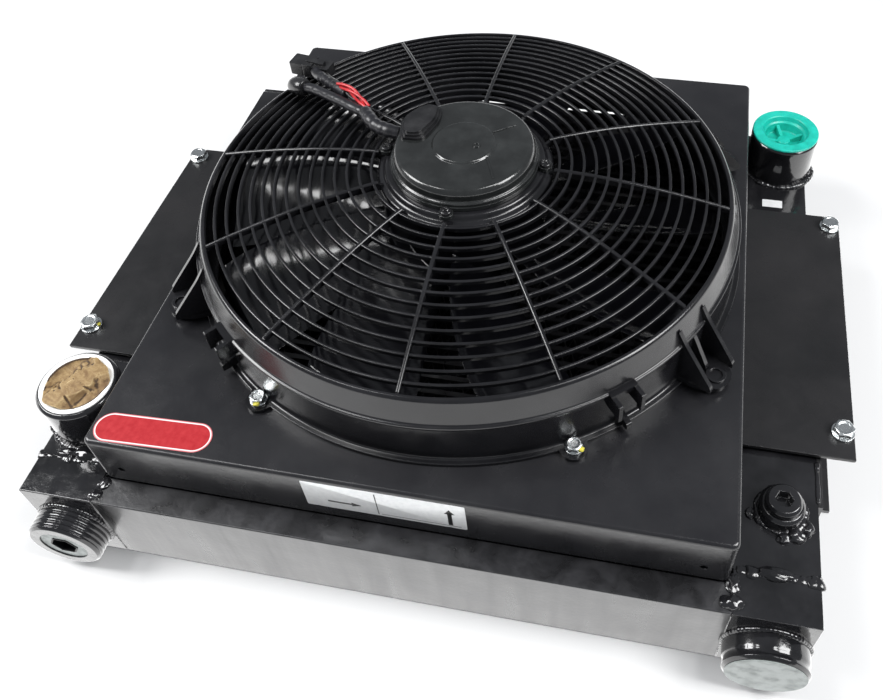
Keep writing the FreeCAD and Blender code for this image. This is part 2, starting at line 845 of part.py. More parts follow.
def fan_housing():
    """One moulding: the round wall and its foot, the domed grille, lugs, clips and bolt ears."""
    body = new_body("fan_housing")
    wall = new_sketch(body, "XZ_Plane")
    polygon(wall, [
        ("housing_bore", "shroud_top"), ("foot_radius", "shroud_top"),
        ("foot_radius", "shroud_top + foot_sheet"), ("housing_radius", "shroud_top + foot_sheet"),
        ("housing_radius", "housing_edge_z"), ("housing_radius - 1.5", "housing_edge_z + 4"),
        ("rim_radius + 1.6", "rim_z"), ("rim_radius - 1.6", "rim_z"),
        ("rim_radius - 1.6", "rim_z - 3"), ("housing_radius - 5", "housing_edge_z + 2"),
        ("housing_bore", "housing_edge_z - 1"),
    ])
    revolve(body, wall)
    for angle in LUG_ANGLES:
        mounting_lug(body, angle)
    for angle in CLIP_ANGLES:
        cable_clip(body, angle)
    ears = new_sketch(body, "XY_Plane", "shroud_top")
    holes = new_sketch(body, "XY_Plane", "shroud_top")
    for x, y in four_corners("fan_bolt_x", "fan_bolt_y", "fan_bolt_y"):
        circle(ears, x, y, "ear_radius")
        circle(holes, x, y, "fan_hole")
    pad(body, ears, "foot_sheet")
    pocket(body, holes, "foot_sheet", reverse=True)
    spokes = new_sketch(body, "XZ_Plane")
    polygon(spokes, spoke_outline())
    spoke = pad(body, spokes, "spoke_width", symmetric=True)
    centre = new_sketch(body, "XY_Plane")
    polar_copies(body, [spoke], centre, "spoke_count")
    rings = new_sketch(body, "XZ_Plane")
    polygon(rings, [
        ("hub_bore", "hub_top - 10"), ("hub_ring", "hub_top - 10"), ("hub_ring", "hub_top - 2"),
        ("hub_ring - 1.5", "hub_top"), ("hub_bore", "hub_top"),
    ])
    for index in range(int(read("ring_count"))):
        radius = f"(ring_first + {index} * (rim_radius - ring_first) / ring_count)"
        top = dome(radius)
        rectangle(rings, f"{radius} - ring_width / 2", f"{top} - ring_depth",
                  f"{radius} + ring_width / 2", top)
    revolve(body, rings)


def fan_fasteners():
    places = four_corners("fan_bolt_x", "fan_bolt_y", "fan_bolt_y")
    deck = "shroud_top + foot_sheet"
    washers("fan_washers", places, deck, "washer_sheet", "fan_washer", "fan_washer_bore")
    hex_screws("fan_bolts", places, f"{deck} + washer_sheet",
               "fan_head", "fan_across", "fan_shank", "fan_length")
    hex_nuts("fan_nuts", places, "shroud_top - shroud_sheet - fan_nut",
             "fan_nut", "fan_across", "fan_shank")


# ---------------------------------------------------------------- motor

def motor_can():
    """The drawn steel can, closed below round the lower bearing, with a screwed flange on top."""
    body = lathe("motor_can", [
        ("bearing_radius", "motor_bottom"), ("motor_radius", "motor_bottom"),
        ("motor_radius", "hub_top"), ("motor_flange", "hub_top"),
        ("motor_flange", "hub_top + motor_flange_sheet"),
        ("motor_radius - motor_wall", "hub_top + motor_flange_sheet"),
        ("motor_radius - motor_wall", "motor_bottom + motor_wall"),
        ("bearing_radius + 2", "motor_bottom + motor_wall"),
        ("bearing_radius + 2", "motor_bottom + bearing_seat"),
        ("bearing_radius", "motor_bottom + bearing_seat"),
    ])
    ears = new_sketch(body, "XY_Plane", "hub_top")
    circle(ears, "motor_screw_radius", "0", "motor_ear")
    ear = pad(body, ears, "motor_flange_sheet")
    centre = new_sketch(body, "XY_Plane")
    polar_copies(body, [ear], centre, "4")
    bore = new_sketch(body, "XY_Plane", "hub_top")
    circle(bore, "0", "0", "motor_radius - motor_wall")
    for x, y in quarter_points("motor_screw_radius"):
        circle(bore, x, y, "motor_shank")
    pocket(body, bore, "motor_flange_sheet", reverse=True)


def quarter_points(radius):
    return [(radius, "0"), ("0", radius), (f"-{radius}", "0"), ("0", f"-{radius}")]


def motor_cover():
    """The rear cover over the can, with a rounded edge, a raised disc in the middle and raised ribs."""
    base = "(hub_top + motor_flange_sheet)"
    body = lathe("motor_cover", [
        ("bearing_radius", f"{base} - bearing_seat"),
        ("bearing_radius + 2", f"{base} - bearing_seat"),
        ("bearing_radius + 2", base), ("cover_radius", base), ("cover_radius", "cover_top - 5"),
        ("cover_radius - 1.5", "cover_top - 1.5"), ("cover_radius - 5", "cover_top"),
        ("cover_disc", "cover_top"), ("cover_disc - 1.5", "cover_top + cover_disc_rise"),
        ("0", "cover_top + cover_disc_rise"),
        ("0", "cover_top - 4"), ("bearing_radius", "cover_top - 4"),
    ])
    for angle in RIB_ANGLES:
        rib = new_sketch(body, "XZ_Plane", "0", angle)
        rectangle(rib, "rib_start", "cover_top - 1", "rib_end", "cover_top + rib_rise")
        pad(body, rib, "rib_width", symmetric=True)


def motor_screws():
    """Four pan-head screws through the can's ears into the grille's hub ring."""
    body = cylinders("motor_screws", quarter_points("motor_screw_radius"),
                     "hub_top + motor_flange_sheet", "motor_head_height", "motor_head")
    shanks = new_sketch(body, "XY_Plane", "hub_top")
    for x, y in quarter_points("motor_screw_radius"):
        circle(shanks, x, y, "motor_shank")
    pad(body, shanks, "motor_flange_sheet")


def bearing(label, bottom):
    """A sealed ball bearing, shown as its closed ring."""
    lathe(label, [
        ("shaft_radius + bearing_clearance", bottom), ("bearing_radius", bottom),
        ("bearing_radius", f"{bottom} + bearing_height"),
        ("shaft_radius + bearing_clearance", f"{bottom} + bearing_height"),
    ])


def motor_magnets():
    """Two curved magnets bonded inside the can."""
    body = new_body("motor_magnets")
    sketch = new_sketch(body, "XY_Plane", "motor_bottom + magnet_level")
    circle(sketch, "0", "0", "motor_radius - motor_wall")
    circle(sketch, "0", "0", "armature_radius + 1")
    pad(body, sketch, "magnet_height")
    gaps = new_sketch(body, "XY_Plane", "motor_bottom + magnet_level")
    rectangle(gaps, "-motor_radius", "-magnet_gap / 2", "motor_radius", "magnet_gap / 2")
    pocket(body, gaps, "magnet_height", reverse=True)


def armature():
    """The laminated core on the shaft, its end turns and the commutator."""
    lathe("armature_core", [
        ("shaft_radius", "motor_bottom + armature_level"),
        ("armature_radius", "motor_bottom + armature_level"),
        ("armature_radius", "motor_bottom + armature_top"),
        ("shaft_radius", "motor_bottom + armature_top"),
    ])
    turns = lathe("armature_windings", [
        ("winding_inner", "motor_bottom + winding_low"),
        ("armature_radius - 6", "motor_bottom + winding_low"),
        ("armature_radius - 4", "motor_bottom + armature_level"),
        ("winding_inner", "motor_bottom + armature_level"),
    ])
    upper = new_sketch(turns, "XZ_Plane")
    polygon(upper, [
        ("winding_inner", "motor_bottom + armature_top"),
        ("armature_radius - 4", "motor_bottom + armature_top"),
        ("armature_radius - 6", "motor_bottom + winding_high"),
        ("winding_inner", "motor_bottom + winding_high"),
    ])
    revolve(turns, upper)
    lathe("commutator", [
        ("shaft_radius", "motor_bottom + commutator_low"),
        ("commutator_radius", "motor_bottom + commutator_low"),
        ("commutator_radius", "motor_bottom + commutator_high"),
        ("shaft_radius", "motor_bottom + commutator_high"),
    ])


def brush_gear():
    """A ring-shaped card in the can, with two carbon brushes under it."""
    lathe("brush_card", [
        ("card_bore", "motor_bottom + card_level"),
        ("motor_radius - motor_wall", "motor_bottom + card_level"),
        ("motor_radius - motor_wall", "motor_bottom + card_level + card_sheet"),
        ("card_bore", "motor_bottom + card_level + card_sheet"),
    ])
    body = new_body("brushes")
    sketch = new_sketch(body, "XY_Plane", "motor_bottom + card_level - brush_height")
    for sign in (-1, 1):
        rectangle(sketch, f"{sign} * (commutator_radius + 0.1)", "-brush_width / 2",
                  f"{sign} * brush_reach", "brush_width / 2")
    pad(body, sketch, "brush_height")


def motor_shaft():
    lathe("motor_shaft", [
        ("0", "impeller_bottom - 5"), ("shaft_radius", "impeller_bottom - 5"),
        ("shaft_radius", "hub_top + 1"), ("0", "hub_top + 1"),
    ])


def lead_block():
    """The raised moulding on the cover's edge where the cable leaves the motor."""
    lead = block("motor_lead_block", "lead_length", "lead_width", "lead_height",
                 "-37", "18", "cover_top", LEAD_ANGLE)
    round_edges(lead, "lead_corner", is_upright)


# ---------------------------------------------------------------- impeller

def blade_section(body, station):
    """The blade cut by a plane at one radius: a bent strip, pitched and swept."""
    chord = f"({station}_chord / 2)"
    pitch = f"({station}_pitch * 1 deg)"
    sketch = new_sketch(body, "YZ_Plane", f"{station}_radius")
    camber = f"({station}_chord * blade_camber)"
    corners = []
    for along, bend in ((-1, "0"), (0, camber), (1, "0")):
        across = f"({along} * {chord})"
        corners.append((across, f"-{bend} - blade_sheet / 2"))
    for along, bend in ((1, "0"), (0, camber), (-1, "0")):
        across = f"({along} * {chord})"
        corners.append((across, f"-{bend} + blade_sheet / 2"))
    turned = []
    for across, height in corners:
        x = f"-({station}_sweep + {across} * cos({pitch}) - ({height}) * sin({pitch}))"
        y = f"blade_centre_z + {across} * sin({pitch}) + ({height}) * cos({pitch})"
        turned.append((x, y))
    polygon(sketch, turned)
    return sketch


def impeller():
    """A cup-shaped hub round the motor, with swept blades, moulded in one piece."""
    body = new_body("impeller")
    hub = new_sketch(body, "XZ_Plane")
    polygon(hub, [
        ("shaft_radius", "impeller_bottom"), ("impeller_hub - 4", "impeller_bottom"),
        ("impeller_hub", "impeller_bottom + 5"), ("impeller_hub", "impeller_top"),
        ("impeller_bore", "impeller_top"), ("impeller_bore", "impeller_bottom + impeller_floor"),
        ("impeller_boss", "impeller_bottom + impeller_floor"),
        ("impeller_boss", "impeller_bottom + impeller_boss_height"),
        ("shaft_radius", "impeller_bottom + impeller_boss_height"),
    ])
    revolve(body, hub)
    sections = [blade_section(body, station) for station in ("root", "waist", "tip")]
    blade = body.newObject("PartDesign::AdditiveLoft", "impeller_blade")
    blade.Profile = sections[0]
    blade.Sections = sections[1:]
    centre = new_sketch(body, "XY_Plane")
    polar_copies(body, [blade], centre, "blade_count")
    lathe("impeller_nut", [
        ("shaft_radius", "impeller_bottom - impeller_nut_height"),
        ("impeller_nut_radius", "impeller_bottom - impeller_nut_height"),
        ("impeller_nut_radius", "impeller_bottom"), ("shaft_radius", "impeller_bottom"),
    ])


# ---------------------------------------------------------------- cable

def cable(label, radius, angle, points):
    """A round cable in an upright plane at an angle: points are (radius, height) pairs."""
    body = new_body(label, turn=angle)
    path = new_sketch(body, "XZ_Plane")
    runs = []
    for start, end in zip(points, points[1:]):
        runs.append(Part.LineSegment(Vector(*start, 0), Vector(*end, 0)))
    edges = path.addGeometry(runs, False)
    joins = []
    for first, second in zip(edges, edges[1:]):
        joins.append(Sketcher.Constraint("Coincident", first, 2, second, 1))
    ends = [(edge, 1, str(x), str(y)) for edge, (x, y) in zip(edges, points)]
    last_x, last_y = points[-1]
    ends.append((edges[-1], 2, str(last_x), str(last_y)))
    tie_points(path, ends, joins)
    section = new_sketch(body, "YZ_Plane", str(points[0][0]))
    circle(section, "0", str(points[0][1]), radius)
    pipe = body.newObject("PartDesign::AdditivePipe", label + "_pipe")
    pipe.Profile = section
    pipe.Spine = path
    pipe.Transition = "Transformed"


def cable_group():
    """The taped lead from the motor, two wires beside it, and the two halves of its connector."""
    angle = read("cable_angle")
    cable("cable_sleeve", "sleeve_radius", angle, [(67, 203), (90, 202), (135, 196.5), (160, 191)])
    cable("red_wire", "wire_radius", angle - 5, [(104, 199), (124, 200), (146, 194), (170, 188)])
    cable("black_wire", "wire_radius", angle - 7.5, [(112, 198), (140, 198), (162, 192)])
    block("connector_socket", "socket_length", "socket_width", "socket_height",
          "-153", "101", "rim_z + socket_rise", SOCKET_ANGLE)
    block("connector_pin", "pin_length", "pin_width", "pin_height",
          "-155", "73", "rim_z + pin_rise", PIN_ANGLE)


# ---------------------------------------------------------------- labels

def labels():
    badge = block("red_badge", "badge_length", "badge_width", "badge_sheet",
                  "-167.3", "-211.5", "shroud_top", BADGE_ANGLE)
    round_edges(badge, "badge_width / 2 - 0.1", is_upright)
    block("airflow_label", "114", "label_sheet", "30.5", "-12",
          "-shroud_half_depth - label_sheet / 2", "88.5")
    block("small_label", "17", "9", "label_sheet", "239.5", "122.5", "core_height")


# ---------------------------------------------------------------- the whole cooler

core_channel("core_front_channel", "-core_front", 1)
core_channel("core_rear_channel", "core_back", -1)
oil_passages()
air_fins()
for side, sign in SIDES:
    tank(side, sign)
    end_block(side, sign)
    tank_cap(side, sign)
front_boss("left", -1, "left_front_radius", 4)
front_boss("right", 1, "right_front_radius", 1)
left_front_plug()
right_front_blank()
top_boss("left", "-top_port_x", "-left_port_y")
top_boss("right", "top_port_x", "right_port_y")
port_liner()
paper_bung()
thread_protector()
vent_port()
shroud()
shroud_seal()
for side, sign in SIDES:
    wing_plate(side, sign)
    mounting_bracket(side, sign)
wing_fasteners()
fan_housing()
fan_fasteners()
motor_can()
motor_cover()
motor_screws()
lead_block()
bearing("lower_bearing", "motor_bottom + 1")
bearing("upper_bearing", "hub_top - 5")
motor_magnets()
armature()
brush_gear()
motor_shaft()
impeller()
cable_group()
labels()

doc.recompute()

broken = [thing.Label for thing in doc.Objects if "Invalid" in thing.State or "Error" in thing.State]
for part in parts:
    shape = part.Shape
    if shape.isNull() or not shape.isValid() or not shape.Solids:
        broken.append(part.Label)
if broken:
    raise RuntimeError("failed: " + ", ".join(broken))

os.makedirs("parts", exist_ok=True)
for part in parts:
    part.Shape.exportStep(f"parts/{part.Label}.step")
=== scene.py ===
import json
import math
import random

import bmesh
import bpy
from mathutils import Matrix, Vector, noise


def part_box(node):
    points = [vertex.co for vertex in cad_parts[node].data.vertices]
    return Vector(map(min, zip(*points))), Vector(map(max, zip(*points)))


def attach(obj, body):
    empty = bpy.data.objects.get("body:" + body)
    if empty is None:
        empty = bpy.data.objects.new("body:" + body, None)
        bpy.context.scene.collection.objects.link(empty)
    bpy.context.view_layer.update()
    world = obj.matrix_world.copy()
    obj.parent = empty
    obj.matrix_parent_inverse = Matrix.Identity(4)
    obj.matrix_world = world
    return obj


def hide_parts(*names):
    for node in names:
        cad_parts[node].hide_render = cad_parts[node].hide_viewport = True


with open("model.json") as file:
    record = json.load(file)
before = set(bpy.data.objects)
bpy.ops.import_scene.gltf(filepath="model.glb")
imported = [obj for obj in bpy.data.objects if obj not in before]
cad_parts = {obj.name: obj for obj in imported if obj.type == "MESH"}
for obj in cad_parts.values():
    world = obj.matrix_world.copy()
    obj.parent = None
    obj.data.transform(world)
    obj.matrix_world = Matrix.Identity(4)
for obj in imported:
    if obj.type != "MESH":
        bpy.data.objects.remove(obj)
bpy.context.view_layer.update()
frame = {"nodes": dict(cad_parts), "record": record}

# The looks of a hydraulic oil cooler: a welded core and tanks, a sheet-metal shroud and an electric
# fan behind a domed grille. Shapes are worked out in millimetres in the part's own frame, whose
# origin is on the fan's axis, and are turned into metres when a piece is made.

MM = 0.001
TURN = 2 * math.pi
UP = Vector((0, 0, 1))
STATIC = "cooler"


def box_mm(node):
    low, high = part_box(node)
    return low / MM, high / MM


SHROUD_LOW, SHROUD_HIGH = box_mm("shroud")
DECK = SHROUD_HIGH.z
CORE_TOP = box_mm("core_front_channel")[1].z
CORE_FRONT = box_mm("core_front_channel")[0].y
TANK_INNER = box_mm("right_tank")[0].x
TANK_OUTER = box_mm("right_tank")[1].x
BLOCK_SEAM = box_mm("right_end_block")[1].y

# Grille. Its rings sit on a shallow dome, high beside the motor and low at the rim.
RING_COUNT = 14
RING_FIRST = 68
RIM_RADIUS = 192
RIM_TOP = 177.5
CROWN = 197
SPOKE_COUNT = 12
HUB_RADIUS = 64
WALL_RADIUS = 201
BORE_RADIUS = 198
FOOT_RADIUS = 206
EDGE_Z = 159
LUG_ANGLES = (30, 150, 210, 330)
CLIP_ANGLES = (229, 311)

BADGE_TURN = 2

# Impeller.
BLADE_COUNT = 10
BLADE_ROOT = 57
BLADE_TIP = 187
BLADE_Z = 150



def badge_centre():
    low, high = box_mm("red_badge")
    return (low + high) / 2 + Vector((0, -0.8, 0))


# ---------------------------------------------------------------- materials

class Finish:
    """A material under construction. Its texture space is the part's own frame, in metres."""

    def __init__(self, name, colour, roughness, metallic=0.0, coat=0.0, coat_roughness=0.05):
        self.material = bpy.data.materials.new(name)
        self.material.use_nodes = True
        self.tree = self.material.node_tree
        self.shader = self.tree.nodes["Principled BSDF"]
        self.set("Base Color", (*colour, 1))
        self.set("Roughness", roughness)
        self.set("Metallic", metallic)
        self.set("Coat Weight", coat)
        self.set("Coat Roughness", coat_roughness)
        self.place = self.node("ShaderNodeTexCoord").outputs["Object"]

    def node(self, kind, **settings):
        node = self.tree.nodes.new(kind)
        for key, value in settings.items():
            setattr(node, key, value)
        return node

    def link(self, source, target):
        self.tree.links.new(source, target)

    def set(self, name, value):
        self.shader.inputs[name].default_value = value

    def drive(self, name, source):
        self.link(source, self.shader.inputs[name])

    def mapped(self, scale, turn=(0, 0, 0), move=(0, 0, 0)):
        """The frame's coordinates, moved, then turned and stretched."""
        mapping = self.node("ShaderNodeMapping")
        self.link(self.place, mapping.inputs["Vector"])
        mapping.inputs["Scale"].default_value = scale
        mapping.inputs["Rotation"].default_value = turn
        mapping.inputs["Location"].default_value = move
        return mapping.outputs["Vector"]

    def noise(self, scale, detail=3.0, rough=0.55, warp=0.0, space=None):
        texture = self.node("ShaderNodeTexNoise")
        self.link(space or self.place, texture.inputs["Vector"])
        texture.inputs["Scale"].default_value = scale
        texture.inputs["Detail"].default_value = detail
        texture.inputs["Roughness"].default_value = rough
        texture.inputs["Distortion"].default_value = warp
        return texture.outputs["Fac"]

    def cells(self, scale, space=None, feature="F1"):
        texture = self.node("ShaderNodeTexVoronoi", feature=feature)
        self.link(space or self.place, texture.inputs["Vector"])
        texture.inputs["Scale"].default_value = scale
        return texture.outputs["Distance"]

    def spread(self, source, low, high, to_low=0.0, to_high=1.0):
        """A value between low and high, stretched to run between two others."""
        ranger = self.node("ShaderNodeMapRange")
        self.link(source, ranger.inputs["Value"])
        for name, value in zip(("From Min", "From Max", "To Min", "To Max"), (low, high, to_low, to_high)):
            ranger.inputs[name].default_value = value
        return ranger.outputs["Result"]

    def maths(self, operation, first, second=None):
        node = self.node("ShaderNodeMath", operation=operation)
        for socket, value in zip(node.inputs, (first, second)):
            if value is None:
                continue
            if isinstance(value, (int, float)):
                socket.default_value = value
            else:
                self.link(value, socket)
        return node.outputs["Value"]

    def blend(self, factor, first, second):
        """A colour between two others. Each may be a plain colour or another node's output."""
        mix = self.node("ShaderNodeMix", data_type="RGBA")
        self.link(factor, mix.inputs[0])
        for socket, colour in ((mix.inputs[6], first), (mix.inputs[7], second)):
            if isinstance(colour, tuple):
                socket.default_value = (*colour, 1)
            else:
                self.link(colour, socket)
        return mix.outputs[2]

    def colour(self, source):
        self.drive("Base Color", source)

    def bumps(self, *layers):
        """Stack bump layers: each is a height output and its depth in metres."""
        below = None
        for height, depth in layers:
            bump = self.node("ShaderNodeBump")
            bump.inputs["Distance"].default_value = depth
            self.link(height, bump.inputs["Height"])
            if below:
                self.link(below, bump.inputs["Normal"])
            below = bump.outputs["Normal"]
        self.drive("Normal", below)
        self.drive("Coat Normal", below)


def sheet_paint(name, dark, light, roughness):
    """Satin black powder coat: a fine grain, faint clouding, and dust that settles in patches."""
    finish = Finish(name, dark, roughness)
    cloud = finish.spread(finish.noise(14, detail=5), 0.35, 0.7)
    finish.colour(finish.blend(cloud, dark, light))
    patchy = finish.noise(38, detail=6, warp=0.4)
    finish.drive("Roughness", finish.spread(patchy, 0.3, 0.75, roughness - 0.05, roughness + 0.10))
    grain = finish.noise(2600, detail=2)
    peel = finish.noise(320, detail=1)
    finish.bumps((peel, 0.00006), (grain, 0.00002))
    return finish.material


def tank_paint():
    """Wet-looking black paint over welded aluminium: orange peel, runs and dull handling marks."""
    finish = Finish("tank_paint", (0.010, 0.010, 0.011), 0.14, coat=0.4)
    cloud = finish.spread(finish.noise(30, detail=5), 0.35, 0.7)
    finish.colour(finish.blend(cloud, (0.006, 0.006, 0.007), (0.018, 0.018, 0.020)))
    marks = finish.noise(90, detail=6, warp=0.8)
    finish.drive("Roughness", finish.spread(marks, 0.35, 0.8, 0.08, 0.26))
    peel = finish.noise(260, detail=2)
    waves = finish.noise(60, detail=1)
    finish.bumps((waves, 0.00022), (peel, 0.00010))
    return finish.material


def core_paint():
    """Black paint on the core's channels, brushed up and down, with dull vertical smudges."""
    finish = Finish("core_paint", (0.012, 0.012, 0.013), 0.22, coat=0.3)
    smears = finish.noise(1.0, detail=6, warp=0.5, space=finish.mapped((60, 60, 7)))
    cloud = finish.spread(smears, 0.35, 0.7)
    finish.colour(finish.blend(cloud, (0.010, 0.010, 0.011), (0.024, 0.024, 0.027)))
    finish.drive("Roughness", finish.spread(smears, 0.3, 0.75, 0.24, 0.42))
    streaks = finish.noise(1.0, detail=3, space=finish.mapped((160, 160, 4)))
    peel = finish.noise(300, detail=2)
    dents = finish.noise(16, detail=2)
    finish.bumps((dents, 0.0010), (streaks, 0.00012), (peel, 0.00007))
    return finish.material


def fin_coat():
    """A thin black coat that leaves the folded strips' crests a little bare."""
    finish = Finish("bare_fins", (0.03, 0.03, 0.032), 0.4, metallic=0.6)
    wear = finish.spread(finish.noise(400, detail=4), 0.45, 0.7)
    finish.colour(finish.blend(wear, (0.018, 0.018, 0.020), (0.14, 0.14, 0.145)))
    finish.bumps((finish.noise(1500, detail=2), 0.00004))
    return finish.material


def fan_plastic():
    """Black glass-filled moulding: a soft sheen, fine flow texture and rubbed-looking high spots."""
    finish = Finish("fan_plastic", (0.008, 0.008, 0.009), 0.20)
    cloud = finish.spread(finish.noise(22, detail=5), 0.35, 0.7)
    finish.colour(finish.blend(cloud, (0.005, 0.005, 0.006), (0.014, 0.014, 0.016)))
    rubbed = finish.noise(70, detail=6, warp=0.6)
    finish.drive("Roughness", finish.spread(rubbed, 0.3, 0.75, 0.14, 0.27))
    grain = finish.noise(1900, detail=2)
    finish.bumps((grain, 0.00003))
    return finish.material


def blade_plastic():
    """Glossy black moulding, with faint swirls left by the mould."""
    finish = Finish("blade_plastic", (0.003, 0.003, 0.004), 0.10, coat=0.15)
    swirl = finish.noise(45, detail=4, warp=1.2)
    finish.drive("Roughness", finish.spread(swirl, 0.3, 0.75, 0.07, 0.17))
    finish.bumps((finish.noise(55, detail=1), 0.0003), (finish.noise(900, detail=2), 0.00001))
    return finish.material


def motor_paint():
    """Semi-gloss black on the motor's pressed steel, dusty on top."""
    finish = Finish("motor_paint", (0.012, 0.012, 0.013), 0.2, coat=0.3)
    dust = finish.spread(finish.noise(60, detail=6), 0.4, 0.75)
    finish.colour(finish.blend(dust, (0.012, 0.013, 0.013), (0.024, 0.026, 0.026)))
    finish.drive("Roughness", finish.spread(dust, 0, 1, 0.14, 0.28))
    finish.bumps((finish.noise(500, detail=2), 0.00006), (finish.noise(2400, detail=1), 0.00001))
    return finish.material


def zinc():
    """Bright zinc plate: cold grey and slightly cloudy, with fine pitting."""
    finish = Finish("zinc", (0.72, 0.74, 0.74), 0.22, metallic=1.0)
    cloud = finish.spread(finish.noise(420, detail=5), 0.35, 0.7)
    finish.colour(finish.blend(cloud, (0.82, 0.84, 0.84), (0.50, 0.53, 0.54)))
    finish.drive("Roughness", finish.spread(cloud, 0, 1, 0.16, 0.36))
    finish.bumps((finish.noise(900, detail=3), 0.0001))
    return finish.material


def port_face():
    """Pale bare metal with fine turning marks and a few dull stains."""
    finish = Finish("port_face", (0.33, 0.36, 0.35), 0.5, metallic=0.15)
    stain = finish.spread(finish.noise(110, detail=6), 0.45, 0.75)
    finish.colour(finish.blend(stain, (0.34, 0.37, 0.36), (0.20, 0.22, 0.21)))
    finish.drive("Roughness", finish.spread(stain, 0, 1, 0.42, 0.62))
    finish.bumps((finish.noise(1600, detail=3), 0.00006))
    return finish.material


def metal(name, colour, roughness, grain):
    """Plain bare metal with a fine machined grain."""
    finish = Finish(name, colour, roughness, metallic=1.0)
    dull = tuple(channel * 0.6 for channel in colour)
    cloud = finish.spread(finish.noise(grain / 6, detail=4), 0.35, 0.75)
    finish.colour(finish.blend(cloud, colour, dull))
    finish.drive("Roughness", finish.spread(cloud, 0, 1, roughness, roughness + 0.2))
    finish.bumps((finish.noise(grain, detail=2), 0.00003))
    return finish.material


def moulded(name, colour, roughness, grain=1600, depth=0.00003):
    """Plain moulded plastic or rubber with a slight clouding and a fine surface grain."""
    finish = Finish(name, colour, roughness)
    worn = tuple(min(1, channel * 1.5 + 0.01) for channel in colour)
    cloud = finish.spread(finish.noise(90, detail=5), 0.4, 0.8)
    finish.colour(finish.blend(cloud, colour, worn))
    finish.drive("Roughness", finish.spread(cloud, 0, 1, roughness, roughness + 0.12))
    finish.bumps((finish.noise(grain, detail=2), depth))
    return finish.material


def green_plastic():
    """Bright turquoise polyethylene that lets a little light in."""
    finish = Finish("green_plastic", (0.01, 0.46, 0.36), 0.34)
    cloud = finish.spread(finish.noise(120, detail=4), 0.35, 0.75)
    finish.colour(finish.blend(cloud, (0.012, 0.50, 0.40), (0.004, 0.36, 0.28)))
    finish.set("Subsurface Weight", 0.25)
    finish.set("Subsurface Radius", (0.001, 0.004, 0.003))
    finish.set("Subsurface Scale", 0.6)
    finish.bumps((finish.noise(700, detail=2), 0.00005))
    return finish.material


def kraft_paper():
    """Brown paper crushed into a ball: fibres, pale creases on the convex crests, and painted shade that darkens the
    hollows of the folds.
    """
    finish = Finish("kraft_paper", (0.36, 0.23, 0.10), 0.66)
    fibres = finish.noise(1.0, detail=8, warp=1.5, space=finish.mapped((300, 900, 300), turn=(0.4, 0.2, 0.9)))
    soft = finish.blend(finish.spread(fibres, 0.3, 0.7), (0.25, 0.155, 0.060), (0.38, 0.265, 0.125))
    blotch = finish.spread(finish.noise(90, detail=5, warp=1.2), 0.42, 0.64)
    stained = finish.blend(blotch, soft, (0.17, 0.095, 0.035))
    fold = finish.node("ShaderNodeNewGeometry").outputs["Pointiness"]
    crest = finish.spread(fold, 0.51, 0.56)
    # Painted shade: where pointiness is low, in the hollows of the folds, the colour is darkened almost to black.
    fold_shade = finish.spread(fold, 0.498, 0.474)
    pale = finish.blend(crest, stained, (0.50, 0.37, 0.19))
    finish.colour(finish.blend(fold_shade, pale, (0.055, 0.028, 0.010)))
    finish.bumps((finish.noise(240, detail=4, warp=1.5), 0.0007), (fibres, 0.0002))
    return finish.material


def cable_tape():
    """Glossy black tape: a fine cloth weave under the shine."""
    finish = Finish("cable_tape", (0.014, 0.014, 0.018), 0.34)
    cloud = finish.spread(finish.noise(150, detail=4), 0.35, 0.7)
    finish.colour(finish.blend(cloud, (0.007, 0.007, 0.009), (0.018, 0.018, 0.022)))
    weave = finish.cells(1400, space=finish.mapped((1, 1.6, 1), turn=(0, 0, 0.5)))
    finish.bumps((finish.noise(160, detail=2), 0.0002), (weave, 0.00004))
    return finish.material


def pill_distance(finish, centre, angle, half_length, radius):
    """How far inside a flat pill's edge a point is, in metres."""
    space = finish.mapped((1, 1, 1))
    local = finish.node("ShaderNodeVectorRotate", rotation_type="Z_AXIS")
    finish.link(space, local.inputs["Vector"])
    local.inputs["Center"].default_value = centre
    local.inputs["Angle"].default_value = -angle
    parts = finish.node("ShaderNodeSeparateXYZ")
    finish.link(local.outputs["Vector"], parts.inputs["Vector"])
    along = finish.maths("ABSOLUTE", finish.maths("SUBTRACT", parts.outputs["X"], centre.x))
    past = finish.maths("MAXIMUM", finish.maths("SUBTRACT", along, half_length - radius), 0.0)
    across = finish.maths("SUBTRACT", parts.outputs["Y"], centre.y)
    squares = finish.maths("ADD", finish.maths("MULTIPLY", past, past), finish.maths("MULTIPLY", across, across))
    return finish.maths("SUBTRACT", radius, finish.maths("SQRT", squares))


def red_label():
    """Glossy red film with a thin white border that follows the badge's edge."""
    finish = Finish("red_label", (0.5, 0.02, 0.03), 0.22, coat=0.4)
    inside = pill_distance(finish, badge_centre() * MM, math.radians(BADGE_TURN), 0.04075, 0.011)
    field = finish.spread(finish.noise(260, detail=4), 0.3, 0.8)
    red = finish.blend(field, (0.36, 0.012, 0.018), (0.46, 0.030, 0.036))
    edge = finish.spread(inside, 0.0006, 0.0008)
    border = finish.spread(inside, 0.0014, 0.0016)
    ringed = finish.blend(edge, (0.60, 0.16, 0.17), (0.80, 0.76, 0.77))
    finish.colour(finish.blend(border, ringed, red))
    finish.bumps((finish.noise(900, detail=2), 0.00002))
    return finish.material


def white_label():
    finish = Finish("white_label", (0.80, 0.81, 0.81), 0.35, coat=0.2)
    print_haze = finish.spread(finish.noise(300, detail=5), 0.4, 0.8)
    finish.colour(finish.blend(print_haze, (0.82, 0.83, 0.83), (0.70, 0.71, 0.72)))
    finish.bumps((finish.noise(1200, detail=2), 0.00002))
    return finish.material


def yellow_mark():
    """The inspector's paint dab on a bolt."""
    finish = Finish("yellow_mark", (0.72, 0.62, 0.05), 0.4)
    thin = finish.spread(finish.noise(700, detail=3), 0.4, 0.7)
    finish.colour(finish.blend(thin, (0.80, 0.72, 0.08), (0.50, 0.44, 0.06)))
    finish.bumps((finish.noise(800, detail=2), 0.0002))
    return finish.material


